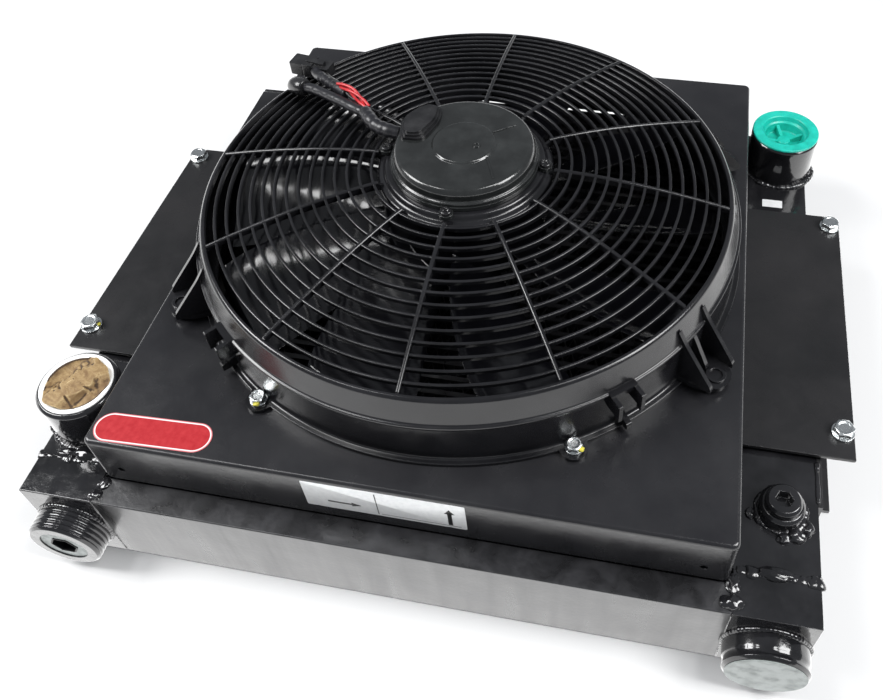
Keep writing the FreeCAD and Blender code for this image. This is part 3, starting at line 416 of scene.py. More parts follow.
MATERIALS = {
    "core_paint": core_paint(),
    "bare_fins": fin_coat(),
    "tank_paint": tank_paint(),
    "shroud_paint": sheet_paint("shroud_paint", (0.012, 0.012, 0.014), (0.022, 0.022, 0.024), 0.22),
    "bracket_paint": sheet_paint("bracket_paint", (0.012, 0.012, 0.013), (0.022, 0.021, 0.022), 0.28),
    "port_face": port_face(),
    "zinc": zinc(),
    "fan_plastic": fan_plastic(),
    "blade_plastic": blade_plastic(),
    "motor_paint": motor_paint(),
    "steel": metal("steel", (0.50, 0.50, 0.51), 0.25, 1800),
    "magnet": moulded("magnet", (0.09, 0.09, 0.10), 0.6),
    "copper": metal("copper", (0.72, 0.36, 0.18), 0.3, 1200),
    "card": moulded("card", (0.26, 0.15, 0.07), 0.55),
    "carbon": moulded("carbon", (0.03, 0.03, 0.03), 0.5),
    "foam": moulded("foam", (0.015, 0.015, 0.015), 0.9, grain=500, depth=0.0006),
    "green_plastic": green_plastic(),
    "white_plastic": moulded("white_plastic", (0.80, 0.80, 0.79), 0.4, grain=500, depth=0.0001),
    "kraft_paper": kraft_paper(),
    "cable_tape": cable_tape(),
    "red_insulation": moulded("red_insulation", (0.42, 0.015, 0.020), 0.25),
    "black_insulation": moulded("black_insulation", (0.010, 0.010, 0.010), 0.3),
    "connector": moulded("connector", (0.010, 0.010, 0.011), 0.20, grain=900, depth=0.00005),
    "red_label": red_label(),
    "white_label": white_label(),
}
MARK = yellow_mark()
WET_BLACK = moulded("wet_black", (0.006, 0.006, 0.007), 0.07, grain=300, depth=0.0002)
# Painted shade: a near-black with little shine for the inside of the plug's hexagon socket, standing in for the shade
# in the recess.
SOCKET_SHADE_BLACK = moulded("socket_shade_black", (0.004, 0.004, 0.005), 0.3)
SOCKET_SHADE_BLACK.node_tree.nodes["Principled BSDF"].inputs["Specular IOR Level"].default_value = 0.12


# ---------------------------------------------------------------- mesh tools

def add_piece(name, points, faces, slot, body=STATIC, material=None):
    """A smooth-shaded mesh piece from points in millimetres."""
    mesh = bpy.data.meshes.new(name)
    mesh.from_pydata([Vector(point) * MM for point in points], [], faces)
    edit = bmesh.new()
    edit.from_mesh(mesh)
    bmesh.ops.recalc_face_normals(edit, faces=edit.faces)
    edit.to_mesh(mesh)
    edit.free()
    mesh.shade_smooth()
    mesh.materials.append(material or MATERIALS[slot])
    piece = bpy.data.objects.new(name, mesh)
    bpy.context.scene.collection.objects.link(piece)
    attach(piece, body)
    return piece


def even_shading(piece):
    """Keep flats flat beside small rounded edges."""
    shading = piece.modifiers.new("even_shading", "WEIGHTED_NORMAL")
    shading.keep_sharp = True
    shading.weight = 80


def round_edges(piece, width, segments=2, angle=35):
    """Round every edge sharper than an angle. The width is in millimetres."""
    bevel = piece.modifiers.new("rounded", "BEVEL")
    bevel.width = width * MM
    bevel.segments = segments
    bevel.limit_method = "ANGLE"
    bevel.angle_limit = math.radians(angle)
    bevel.harden_normals = False
    even_shading(piece)


def smooth_group():
    """A node group that shades every face smooth, for meshes whose normals were split."""
    group = bpy.data.node_groups.new("shade_smooth", "GeometryNodeTree")
    group.interface.new_socket("Geometry", in_out="INPUT", socket_type="NodeSocketGeometry")
    group.interface.new_socket("Geometry", in_out="OUTPUT", socket_type="NodeSocketGeometry")
    start = group.nodes.new("NodeGroupInput")
    smooth = group.nodes.new("GeometryNodeSetShadeSmooth")
    end = group.nodes.new("NodeGroupOutput")
    group.links.new(start.outputs[0], smooth.inputs[0])
    group.links.new(smooth.outputs[0], end.inputs[0])
    return group


SMOOTH = smooth_group()


def soften_node(name, width, segments=2):
    """Weld a CAD node's split faces together with modifiers and round its sharp edges."""
    node = frame["nodes"][name]
    weld = node.modifiers.new("weld", "WELD")
    weld.merge_threshold = 0.00001
    flat = node.modifiers.new("flat", "DECIMATE")
    flat.decimate_type = "DISSOLVE"
    flat.angle_limit = math.radians(0.5)
    smooth = node.modifiers.new("smooth", "NODES")
    smooth.node_group = SMOOTH
    round_edges(node, width, segments)


def rounded(corners, radius, steps=4):
    """A closed outline whose corners are turned. A corner may carry its own radius."""
    outline = []
    count = len(corners)
    for i, corner in enumerate(corners):
        here = Vector(corner[:2])
        wanted = corner[2] if len(corner) > 2 else radius
        if wanted == 0:
            outline.append(tuple(here))
            continue
        back = Vector(corners[i - 1][:2]) - here
        on = Vector(corners[(i + 1) % count][:2]) - here
        reach = min(wanted, back.length * 0.48, on.length * 0.48)
        start = here + back.normalized() * reach
        end = here + on.normalized() * reach
        for k in range(steps + 1):
            t = k / steps
            point = start * (1 - t) ** 2 + here * 2 * t * (1 - t) + end * t ** 2
            outline.append(tuple(point))
    return outline


def turned(outlines, centre, axis="Z", segments=128):
    """Points and faces of solids of revolution. Each outline is closed, as (radius, station)."""
    points = []
    faces = []
    for outline in outlines:
        rings = []
        for radius, station in outline:
            count = segments if radius > 1e-6 else 1
            rings.append(range(len(points), len(points) + count))
            for k in range(count):
                angle = TURN * k / segments
                side, rise = radius * math.cos(angle), radius * math.sin(angle)
                place = (side, rise, station) if axis == "Z" else (side, -station, rise)
                points.append(Vector(centre) + Vector(place))
        for ring, following in zip(rings, rings[1:] + rings[:1]):
            if len(ring) == len(following) == 1:
                continue
            for k in range(segments):
                face = [ring[k % len(ring)], ring[(k + 1) % len(ring)],
                        following[(k + 1) % len(following)], following[k % len(following)]]
                faces.append(list(dict.fromkeys(face)))
    return points, faces


def lathe(name, outlines, centre, slot, body=STATIC, axis="Z", segments=128):
    points, faces = turned(outlines, centre, axis, segments)
    piece = add_piece(name, points, faces, slot, body)
    even_shading(piece)
    return piece


def prism(outline, low, high, place=Matrix.Identity(4)):
    """Points and faces of an outline drawn up from low to high, then placed."""
    count = len(outline)
    points = [place @ Vector((x, y, z)) for z in (low, high) for x, y in outline]
    faces = [[i, (i + 1) % count, count + (i + 1) % count, count + i] for i in range(count)]
    faces.append(list(range(count))[::-1])
    faces.append(list(range(count, 2 * count)))
    return points, faces


def gather(*solids):
    """Join several solids' points and faces."""
    points = []
    faces = []
    for some_points, some_faces in solids:
        start = len(points)
        points.extend(some_points)
        faces.extend([[start + i for i in face] for face in some_faces])
    return points, faces


def spin(degrees, move=(0, 0, 0)):
    return Matrix.Translation(move) @ Matrix.Rotation(math.radians(degrees), 4, "Z")


def upright(degrees):
    """Turn an outline drawn as (radius, height) upright, facing an angle round the fan's axis."""
    stand = Matrix(((1, 0, 0, 0), (0, 0, -1, 0), (0, 1, 0, 0), (0, 0, 0, 1)))
    return Matrix.Rotation(math.radians(degrees), 4, "Z") @ stand


def finished(piece):
    """Apply a piece's modifiers to its mesh."""
    graph = bpy.context.evaluated_depsgraph_get()
    graph.update()
    mesh = bpy.data.meshes.new_from_object(piece.evaluated_get(graph))
    piece.modifiers.clear()
    old = piece.data
    piece.data = mesh
    bpy.data.meshes.remove(old)


def merge(main, others, operation="UNION"):
    """Combine closed pieces into one closed mesh."""
    for other in others:
        change = main.modifiers.new("merge", "BOOLEAN")
        change.solver = "MANIFOLD"
        change.operation = operation
        change.object = other
    finished(main)
    for other in others:
        bpy.data.objects.remove(other)
    return main


def sweep(path, sizes, sides=12, closed=False, flat=1.0):
    """Points and faces of a round or flattened tube along a path of points."""
    points = []
    count = len(path)
    for i, here in enumerate(path):
        ahead = path[(i + 1) % count] if closed or i < count - 1 else here
        behind = path[i - 1] if closed or i > 0 else here
        along = (ahead - behind).normalized()
        reference = UP if abs(along.z) < 0.9 else Vector((1, 0, 0))
        side = along.cross(reference).normalized()
        rise = side.cross(along).normalized()
        for k in range(sides):
            angle = TURN * k / sides
            size = sizes[i](angle) if callable(sizes[i]) else sizes[i]
            points.append(here + side * size * math.cos(angle) + rise * size * flat * math.sin(angle))
    faces = []
    for i in range(count if closed else count - 1):
        for k in range(sides):
            first, second = i * sides, ((i + 1) % count) * sides
            faces.append([first + k, first + (k + 1) % sides, second + (k + 1) % sides, second + k])
    if not closed:
        faces.append(list(range(sides))[::-1])
        faces.append(list(range((count - 1) * sides, count * sides)))
    return points, faces


def spaced(corners, step, closed=False):
    """Points at an even step along a line through corners."""
    corners = [Vector(corner) for corner in corners]
    if closed:
        corners.append(corners[0])
    places = []
    for start, end in zip(corners, corners[1:]):
        count = max(1, round((end - start).length / step))
        places.extend(start.lerp(end, k / count) for k in range(count))
    if not closed:
        places.append(corners[-1])
    return places


def curve_through(knots, step):
    """A smooth path through knots, by Catmull-Rom."""
    knots = [Vector(knot) for knot in knots]
    padded = [knots[0] * 2 - knots[1]] + knots + [knots[-1] * 2 - knots[-2]]
    places = []
    for a, b, c, d in zip(padded, padded[1:], padded[2:], padded[3:]):
        count = max(2, round((c - b).length / step))
        for k in range(count):
            t = k / count
            places.append(0.5 * (2 * b + (c - a) * t + (2 * a - 5 * b + 4 * c - d) * t ** 2
                                 + (3 * b - 3 * c + d - a) * t ** 3))
    places.append(knots[-1])
    return places


# ---------------------------------------------------------------- welds

def weld_bead(name, corners, size, closed=False, lumps=0.35, pitch=2.6, flat=0.7):
    """A painted weld: a bead with crescent ripples, uneven in width and in line."""
    path = spaced(corners, 0.45, closed)
    count = len(path)
    seed = Vector(corners[0]) * 0.37
    places = []
    sizes = []
    for i, place in enumerate(path):
        swell = noise.noise(seed + place * 0.11)
        jitter = noise.noise_vector(seed + place * 0.3) * size * 0.25 * lumps
        ripple = 0.10 * abs(math.sin(math.pi * i * 0.45 / pitch))
        ends = 1.0 if closed else min(1.0, 0.35 + 1.1 * min(i, count - 1 - i) * 0.45 / size)
        places.append(place + jitter)
        sizes.append(size * ends * (0.86 + ripple + lumps * swell))
    points, faces = sweep(places, sizes, sides=14, closed=closed, flat=flat)
    return add_piece(name, points, faces, "tank_paint")


def round_weld(name, centre, radius, size, axis="Z", lumps=0.35):
    """A weld bead all the way round a boss."""
    corners = []
    for k in range(72):
        angle = TURN * k / 72
        side, rise = radius * math.cos(angle), radius * math.sin(angle)
        offset = (side, rise, 0) if axis == "Z" else (side, 0, rise)
        corners.append(Vector(centre) + Vector(offset))
    return weld_bead(name, corners, size, closed=True, lumps=lumps)


def weld_lump(name, centre, size, seed, slot="tank_paint", material=None):
    """A blob with a lumpy skin. Its size is its three half-widths."""
    edit = bmesh.new()
    bmesh.ops.create_icosphere(edit, subdivisions=4, radius=1)
    points = []
    for vertex in edit.verts:
        push = 1 + 0.30 * noise.noise(vertex.co * 1.6 + Vector((seed, 0, 0)))
        push += 0.05 * noise.noise(vertex.co * 5 + Vector((0, seed, 0)))
        points.append([centre[i] + vertex.co[i] * push * size[i] for i in range(3)])
    faces = [[vertex.index for vertex in face.verts] for face in edit.faces]
    edit.free()
    return add_piece(name, points, faces, slot, material=material)


def welds():
    for side, sign in (("left", -1), ("right", 1)):
        inner, outer = sign * (TANK_INNER + 0.5), sign * (TANK_OUTER - 0.2)
        weld_bead(f"{side}_block_weld", [
            (inner, BLOCK_SEAM, CORE_TOP - 0.4), (outer, BLOCK_SEAM, CORE_TOP - 0.4), (outer, BLOCK_SEAM, 5),
        ], 3.4, lumps=1.1, pitch=3.4, flat=0.42)
        seam = sign * TANK_INNER
        weld_bead(f"{side}_frame_weld", [
            (seam, CORE_FRONT + 18, CORE_TOP), (seam, CORE_FRONT + 1.2, CORE_TOP - 0.6),
        ], 2.4, lumps=0.8, flat=0.5)
        weld_bead(f"{side}_frame_front_weld", [
            (seam, CORE_FRONT + 0.6, CORE_TOP - 2), (seam, CORE_FRONT + 0.6, 2),
        ], 1.2, lumps=0.8)
        weld_bead(f"{side}_bracket_weld", [
            (sign * TANK_OUTER, -163, CORE_TOP), (sign * TANK_OUTER, -131, CORE_TOP),
        ], 1.9)
        front = box_mm(f"{side}_front_boss")
        middle = (front[0] + front[1]) / 2
        radius = (front[1].x - front[0].x) / 2
        round_weld(f"{side}_front_boss_weld", (middle.x, CORE_FRONT, middle.z), radius + 0.2, 2.5, axis="Y")
        top = box_mm(f"{side}_top_boss")
        middle = (top[0] + top[1]) / 2
        radius = (top[1].x - top[0].x) / 2
        round_weld(f"{side}_top_boss_weld", (middle.x, middle.y, CORE_TOP), radius + 0.6, 3.4, lumps=0.8)
    low, high = box_mm("vent_boss")
    middle = (low + high) / 2
    round_weld("vent_boss_weld", (middle.x, middle.y, CORE_TOP), (high.x - low.x) / 2 + 0.5, 3.0, lumps=0.9)
    blobs = (
        ("left_corner_blob", (-213, -240, 73.5), (5.5, 4, 2.6)), ("left_corner_drip", (-211, -231, 74), (4, 5, 2)),
        ("left_seam_blob_1", (-222, -214, 74.4), (8, 4.5, 2.8)), ("left_seam_blob_2", (-236, -212, 74.4), (9, 5, 3)),
        ("left_seam_blob_3", (-250, -213.5, 74.2), (8, 4, 2.4)), ("left_run", (-229, -205, 74.6), (4.5, 6, 2.6)),
        ("right_corner_blob", (213.5, -239, 73.5), (7.5, 5.6, 4)), ("right_corner_drip", (214, -227, 74), (4.5, 7, 2.6)),
        ("vent_blob_1", (252, -188, 74.3), (7, 5, 4)), ("vent_blob_2", (260, -182, 74.3), (5, 6, 3.4)),
        ("vent_blob_3", (246, -191, 74.2), (5.5, 4.5, 2.8)), ("vent_blob_4", (224, -177, 74.2), (3.5, 4, 2)), ("right_seam_blob", (240, -216, 74.3), (12, 4.5, 2.6)),
        ("right_port_blob", (271, 166, 74.5), (4, 6, 3)),
    )
    for seed, (name, centre, size) in enumerate(blobs):
        weld_lump(name, centre, size, seed * 3.7)


# ---------------------------------------------------------------- fan housing and grille

def dome(radius):
    share = max(0, (radius - RING_FIRST) / (RIM_RADIUS - RING_FIRST))
    return CROWN - (CROWN - RIM_TOP) * share ** 1.6


def housing_wall():
    """The round wall: a foot on the shroud, an upright side, a rounded edge and a sloping shoulder."""
    outline = rounded([
        (BORE_RADIUS, DECK, 0), (FOOT_RADIUS, DECK, 0.3), (FOOT_RADIUS, DECK + 3, 0.8),
        (WALL_RADIUS + 0.6, DECK + 3.2, 2), (WALL_RADIUS - 0.2, EDGE_Z - 2.6, 1), (WALL_RADIUS + 0.7, EDGE_Z - 1.4, 1),
        (WALL_RADIUS + 0.7, EDGE_Z + 0.6, 1), (WALL_RADIUS - 1.4, EDGE_Z + 1, 1.2),
        (RIM_RADIUS + 2.2, RIM_TOP - 1.2, 1.5), (RIM_RADIUS + 0.4, RIM_TOP + 0.2, 0.8),
        (RIM_RADIUS - 1.4, RIM_TOP, 0.6), (RIM_RADIUS - 1.6, RIM_TOP - 4, 0.4),
        (RIM_RADIUS + 3.0, EDGE_Z + 4, 2), (BORE_RADIUS, EDGE_Z - 3, 2),
    ], 1)
    return [outline]


def grille_rings():
    """The concentric rings and the wide ring that holds the motor."""
    outlines = []
    for index in range(RING_COUNT):
        radius = RING_FIRST + index * (RIM_RADIUS - RING_FIRST) / RING_COUNT
        top = dome(radius)
        outlines.append(rounded([
            (radius - 0.8, top - 4, 0.3), (radius + 0.8, top - 4, 0.3),
            (radius + 1.2, top, 1.15), (radius - 1.2, top, 1.15),
        ], 1, steps=4))
    outlines.append(rounded([
        (51, CROWN - 9), (HUB_RADIUS, CROWN - 9), (HUB_RADIUS + 0.3, CROWN - 4.5, 2.2),
        (59.5, CROWN - 3.2, 1.5), (57.5, CROWN + 0.6, 1.5), (51, CROWN + 0.8, 0),
    ], 0.6))
    return outlines


def spoke():
    """A spoke's side view, following the dome."""
    upper = [(HUB_RADIUS - 3, CROWN - 3.5)]
    lower = [(HUB_RADIUS - 3, CROWN - 8)]
    for k in range(17):
        radius = RING_FIRST - 2 + (RIM_RADIUS - RING_FIRST + 3) * k / 16
        upper.append((radius, dome(radius) - 0.6))
        lower.append((radius, dome(radius) - 6 + 2 * k / 16))
    return upper + lower[::-1]


def lug(angle):
    """A mounting foot: a pad with a hole, carried by three upright gussets."""
    pad = rounded([
        (BORE_RADIUS + 1, -17, 0), (216, -15.5, 4), (230, -8, 5), (230, 8, 5), (216, 15.5, 4),
        (BORE_RADIUS + 1, 17, 0),
    ], 2)
    solids = [prism(pad, 126, 130, spin(angle))]
    for offset, reach, top in ((13.5, 226, 171), (0, 214, 163), (-13.5, 226, 171)):
        gusset = rounded([
            (BORE_RADIUS + 0.5, 129, 0), (reach, 129, 0), (reach, 133.5, 3),
            (WALL_RADIUS + 1.5, top - 9, 4), (196.5, top, 1), (BORE_RADIUS - 1.5, top - 12, 0),
        ], 1, steps=3)
        solids.append(prism(gusset, -offset - 1.5, -offset + 1.5, upright(angle)))
    return solids


def hole_collar(angle):
    """The raised collar round a lug's hole."""
    centre = spin(angle) @ Vector((221, 0, 0))
    outline = rounded([(4.3, 129), (6.8, 129), (6.8, 131.4), (4.3, 131.4)], 0.5)
    return turned([outline], centre, segments=32)


def clip(angle):
    """A cable clip: a root on the wall's edge and two arms that turn down at their tips."""
    root = rounded([(197, -10), (204, -10), (204, 10), (197, 10)], 1)
    solids = [prism(root, EDGE_Z - 3, EDGE_Z + 1.2, spin(angle))]
    for offset in (-8.5, 8.5):
        arm = rounded([
            (BORE_RADIUS + 0.5, 146, 0), (208, 146), (208, 143), (212.5, 143), (212.5, EDGE_Z),
            (BORE_RADIUS + 0.5, EDGE_Z + 0.6, 0),
        ], 0.8, steps=3)
        solids.append(prism(arm, -offset - 1.4, -offset + 1.4, upright(angle)))
    foot = rounded([(BORE_RADIUS + 0.5, 127, 0), (212, 127), (212, 133), (BORE_RADIUS + 0.5, 136, 0)], 1)
    solids.append(prism(foot, -2, 2, upright(angle)))
    return solids


def bolt_ear(x, y):
    """A rounded ear of the foot under a fan bolt."""
    angle = math.degrees(math.atan2(y, x))
    reach = math.hypot(x, y)
    outline = [(200, 12), (200, -12)]
    for k in range(13):
        turn = math.radians(-80 + 160 * k / 12)
        outline.append((reach + 9 * math.cos(turn), 9 * math.sin(turn)))
    return prism(outline, DECK, DECK + 3, spin(angle))


def fan_housing():
    """One moulding, merged from its wall, rings, spokes, lugs, clips and ears."""
    housing = add_piece("housing", *turned(housing_wall(), (0, 0, 0), segments=240), "fan_plastic")
    rings = add_piece("rings", *turned(grille_rings(), (0, 0, 0), segments=240), "fan_plastic")
    side = spoke()
    blades = []
    crests = []
    for k in range(SPOKE_COUNT):
        place = upright(k * 360 / SPOKE_COUNT)
        blades.append(prism(side, -1.2, 1.2, place))
        line = [place @ Vector((radius, dome(radius) - 0.7, 0)) for radius in range(RING_FIRST - 3, RIM_RADIUS + 1, 5)]
        crests.append(sweep(line, [1.5] * len(line), sides=14))
    spokes = add_piece("spokes", *gather(*blades), "fan_plastic")
    rounds = add_piece("crests", *gather(*crests), "fan_plastic")
    extras = []
    low, high = box_mm("fan_washers")
    reach_x, reach_y = high.x - 6, high.y - 6
    for sign_x in (-1, 1):
        for sign_y in (-1, 1):
            extras.append(bolt_ear(sign_x * reach_x, sign_y * reach_y))
    attachments = [add_piece("ears", *gather(*extras), "fan_plastic")]
    for angle in LUG_ANGLES:
        for index, solid in enumerate(lug(angle) + [hole_collar(angle)]):
            attachments.append(add_piece(f"lug_{angle}_{index}", *solid, "fan_plastic"))
    for angle in CLIP_ANGLES:
        for index, solid in enumerate(clip(angle)):
            attachments.append(add_piece(f"clip_{angle}_{index}", *solid, "fan_plastic"))
    merge(housing, [rings, spokes, rounds] + attachments)
    housing.name = "fan_housing_moulding"
    round_edges(housing, 0.35, segments=1, angle=40)
    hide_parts("fan_housing")


# ---------------------------------------------------------------- impeller

def blade_point(span, chord, face):
    """A point on a blade's skin. Span runs from root to tip and chord across it, both 0 to 1, and
    face is 1 on top and -1 underneath."""
    radius = BLADE_ROOT + (BLADE_TIP - BLADE_ROOT) * span
    width = 40 + 44 * span ** 0.8 - 10 * span ** 6
    pitch = math.radians(40 - 20 * span ** 0.8)
    across = (chord - 0.5) * width
    thick = 1.5 * math.sqrt(max(0.0, 1 - (2 * chord - 1) ** 4)) + 0.25
    bow = 0.085 * width * (1 - (2 * chord - 1) ** 2)
    lift = face * thick - bow
    along = across * math.cos(pitch) - lift * math.sin(pitch) - 26 * span ** 2
    rise = across * math.sin(pitch) + lift * math.cos(pitch)
    angle = -along / radius
    return Vector((radius * math.cos(angle), radius * math.sin(angle), BLADE_Z + rise))


def blade(angle):
    """A closed, cambered, forward-swept blade."""
    stations, steps = 20, 16
    points = []
    for i in range(stations + 1):
        loop = [blade_point(i / stations, k / steps, 1) for k in range(steps + 1)]
        loop += [blade_point(i / stations, k / steps, -1) for k in range(steps, -1, -1)]
        points.extend(loop)
    ring = 2 * (steps + 1)
    faces = []
    for i in range(stations):
        for k in range(ring):
            a, b = i * ring + k, i * ring + (k + 1) % ring
            faces.append([a, b, b + ring, a + ring])
    faces.append(list(range(ring))[::-1])
    faces.append(list(range(stations * ring, (stations + 1) * ring)))
    turn = Matrix.Rotation(math.radians(angle), 4, "Z")
    return [turn @ point for point in points], faces


def impeller():
    low, high = box_mm("impeller")
    hub_outline = rounded([
        (4, low.z + 0.5, 0), (50, low.z + 0.5), (60, low.z + 6, 5), (60, high.z, 1.5), (55, high.z, 1),
        (55, low.z + 5, 3), (9, low.z + 5, 1), (9, low.z + 15, 0.5), (4, low.z + 15, 0),
    ], 1)
    hub = add_piece("hub", *turned([hub_outline], (0, 0, 0), segments=160), "blade_plastic", "rotor")
    blades = [blade(k * 360 / BLADE_COUNT) for k in range(BLADE_COUNT)]
    fins = add_piece("blades", *gather(*blades), "blade_plastic", "rotor")
    merge(hub, [fins])
    hub.name = "impeller_moulding"
    even_shading(hub)
    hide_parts("impeller")


# ---------------------------------------------------------------- motor

def motor_cover():
    """The pressed cover: a rolled edge, a raised middle, a stepped skirt, ribs and a small ring."""
    top = box_mm("motor_lead_block")[0].z
    base = box_mm("motor_can")[1].z
    outline = rounded([
        (0, top - 3, 0), (12, top - 3, 1), (12, top - 8, 0.5), (48, base, 1), (53, base + 0.05, 0.6),
        (53, base + 2.2, 0.8), (51.2, base + 3, 0.8), (51, top - 4, 1), (48.6, top, 2.2),
        (23.2, top, 0.4), (21.8, top + 1.6, 0.9), (0, top + 1.6, 0),
    ], 1)
    cover = lathe("motor_cover_pressing", [outline], (0, 0, 0), "motor_paint", segments=192)
    raised = []
    for start, end in (((19, -12.5), (28, -33)), ((18, 15), (33, 25.5))):
        run = Vector(end) - Vector(start)
        outline = rounded([(0, -0.6), (run.length, -0.6), (run.length, 0.6), (0, 0.6)], 0.5)
        angle = math.degrees(math.atan2(run.y, run.x))
        raised.append(prism(outline, top - 1, top + 0.7, spin(angle, (*start, 0))))
    ring = rounded([(1.6, top + 1), (2.6, top + 1), (2.6, top + 2.3), (1.6, top + 2.3)], 0.4)
    raised.append(turned([ring], (10, -3, 0), segments=32))
    marks = add_piece("cover_ribs", *gather(*raised), "motor_paint")
    round_edges(marks, 0.35)
    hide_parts("motor_cover")


def lead_block():
    """The raised moulding where the lead leaves, in three steps, cut clear of the cover's middle."""
    low, high = box_mm("motor_lead_block")
    layers = []
    for level, inset in ((0, 0), (1.7, 1.5), (3.2, 3)):
        outline = rounded([
            (-47 + inset, -3 + inset, 5), (-30 - inset, -2.5 + inset, 6), (-22.5 - inset, 19, 6),
            (-24 - inset, 36.5 - inset, 6), (-39 + inset, 36 - inset, 9), (-50.5 + inset, 19, 9),
        ], 6, steps=6)
        layers.append(prism(outline, low.z + level, low.z + level + 1.9))
    solids = [add_piece(f"lead_layer_{index}", *layer, "connector") for index, layer in enumerate(layers)]
    piece = merge(solids[0], solids[1:])
    piece.name = "lead_moulding"
    round_edges(piece, 0.6, segments=3)
    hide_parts("motor_lead_block")


def motor_screws():
    """Pan heads with a cross recess, on the can's ears."""
    low, high = box_mm("motor_screws")
    seat = box_mm("motor_can")[1].z
    reach = (high.x - low.x) / 2 - 4.2
    heads = []
    for k in range(4):
        centre = spin(90 * k) @ Vector((reach, 0, 0))
        outline = rounded([(0, seat, 0), (4.2, seat, 0.3), (4.1, seat + 2.2, 1.8), (0, seat + 3, 0)], 1)
        heads.append(turned([outline], centre, segments=32))
    piece = add_piece("motor_screw_heads", *gather(*heads), "motor_paint", material=WET_BLACK)
    slots = []
    for k in range(4):
        centre = spin(90 * k) @ Vector((reach, 0, 0))
        for turn in (35, 125):
            slots.append(add_piece("recess", *prism(
                [(-2, -0.45), (2, -0.45), (2, 0.45), (-2, 0.45)], seat + 1.4, seat + 4,
                spin(turn, centre)), "motor_paint", material=WET_BLACK))
    merge(piece, slots, "DIFFERENCE")
    even_shading(piece)
    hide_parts("motor_screws")


# ---------------------------------------------------------------- bolts

def hex_bolts(name, node, across, head, shank):
    """Hexagon-head bolts with a chamfered crown over their shanks."""
    low, high = box_mm(node)
    seat = high.z - head
    corner = across / math.sqrt(3)
    reach_x = high.x - corner
    places = [(x, y) for x in (-reach_x, reach_x) for y in (low.y + across / 2, high.y - across / 2)]
    hexagon = [(corner * math.cos(TURN * k / 6), corner * math.sin(TURN * k / 6)) for k in range(6)]
    crown = [(0, seat - 1), (across * 0.62, seat - 1), (across * 0.62, seat + head * 0.74),
             (across * 0.44, seat + head), (across * 0.36, seat + head), (across * 0.3, seat + head - 0.5),
             (0, seat + head - 0.5)]
    heads = []
    cones = []
    shanks = []
    for index, (x, y) in enumerate(places):
        heads.append(prism(hexagon, seat, seat + head, spin(17 + 23 * index, (x, y, 0))))
        cones.append(turned([crown], (x, y, 0), segments=48))
        stem = rounded([(0, low.z, 0), (shank, low.z), (shank, seat + 0.2, 0), (0, seat + 0.2, 0)], 0.8)
        shanks.append(turned([stem], (x, y, 0), segments=32))
    bolts = add_piece(name, *gather(*heads), "zinc")
    merge(bolts, [add_piece("crowns", *gather(*cones), "zinc")], "INTERSECT")
    merge(bolts, [add_piece("shanks", *gather(*shanks), "zinc")])
    round_edges(bolts, 0.25, segments=2, angle=25)
    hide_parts(node)
    return places


def paint_mark(name, x, y, z, size, seed):
    """A dab of inspection paint where a bolt meets its washer."""
    weld_lump(name, (x, y, z), (size, size * 0.8, size * 0.45), seed, "zinc", MARK)


# ---------------------------------------------------------------- ports

def crumple(x, y, folds):
    """Height of a crushed sheet: wide straight folds, and sharp short creases that fade at their ends."""
    height = 0
    for turn, offset, depth, width in folds:
        across = math.cos(turn) * x + math.sin(turn) * y - offset
        if width == 0:
            height += depth * abs(across)
            continue
        along = math.cos(turn) * y - math.sin(turn) * x - 9 * math.sin(7 * offset)
        height += depth * max(0, 1 - abs(across) / width) * max(0, 1 - (along / 13) ** 2)
    return height


def paper_bung():
    """Brown paper crushed into the left port, its creased top level with the lip."""
    low, high = box_mm("paper_bung")
    middle = (low + high) / 2
    chance = random.Random(31)
    folds = []
    for k in range(14):
        depth = chance.choice((-1, 1)) * chance.uniform(0.15, 0.5)
        folds.append((chance.uniform(0, math.pi), chance.uniform(-15, 15), depth, 0))
    for k in range(34):
        depth = chance.choice((-1, -1, 1)) * chance.uniform(1.6, 4.0)
        folds.append((chance.uniform(0, math.pi), chance.uniform(-16, 16), depth, chance.uniform(1.4, 4)))
    spots = [(x, y) for x in range(-18, 19, 4) for y in range(-18, 19, 4)]
    level = sum(crumple(x, y, folds) for x, y in spots) / len(spots)
    rings, sides = 54, 150
    lip = box_mm("port_liner")[1].z
    points = [(middle.x, middle.y, lip)]
    for i in range(rings):
        share = (i + 1) / rings
        for k in range(sides):
            angle = TURN * k / sides
            edge = 22.4 + 0.8 * math.sin(3 * angle + 1) + 0.5 * math.sin(5 * angle) + 0.3 * math.sin(11 * angle)
            x = edge * share * math.cos(angle)
            y = edge * share * math.sin(angle)
            fold = max(-6, min(3.2, 0.6 * (crumple(x, y, folds) - level)))
            settle = 0.8 * fold * share ** 4 if fold < 0 else 0.4 * fold * share ** 6
            points.append((middle.x + x, middle.y + y, lip + 0.5 + fold - settle + 0.8 * (1 - share)))
    bottom = len(points)
    for radius, height in ((21.2, lip - 0.6), (19, low.z)):
        for k in range(sides):
            angle = TURN * k / sides
            points.append((middle.x + radius * math.cos(angle), middle.y + radius * math.sin(angle), height))
    faces = [[0, 1 + k, 1 + (k + 1) % sides] for k in range(sides)]
    for i in range(rings + 1):
        for k in range(sides):
            near, far = 1 + i * sides, 1 + (i + 1) * sides
            faces.append([near + k, near + (k + 1) % sides, far + (k + 1) % sides, far + k])
    faces.append(list(range(bottom + sides, bottom + 2 * sides)))
    paper = add_piece("crumpled_paper", points, faces, "kraft_paper", "port_bung")
    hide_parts("paper_bung")


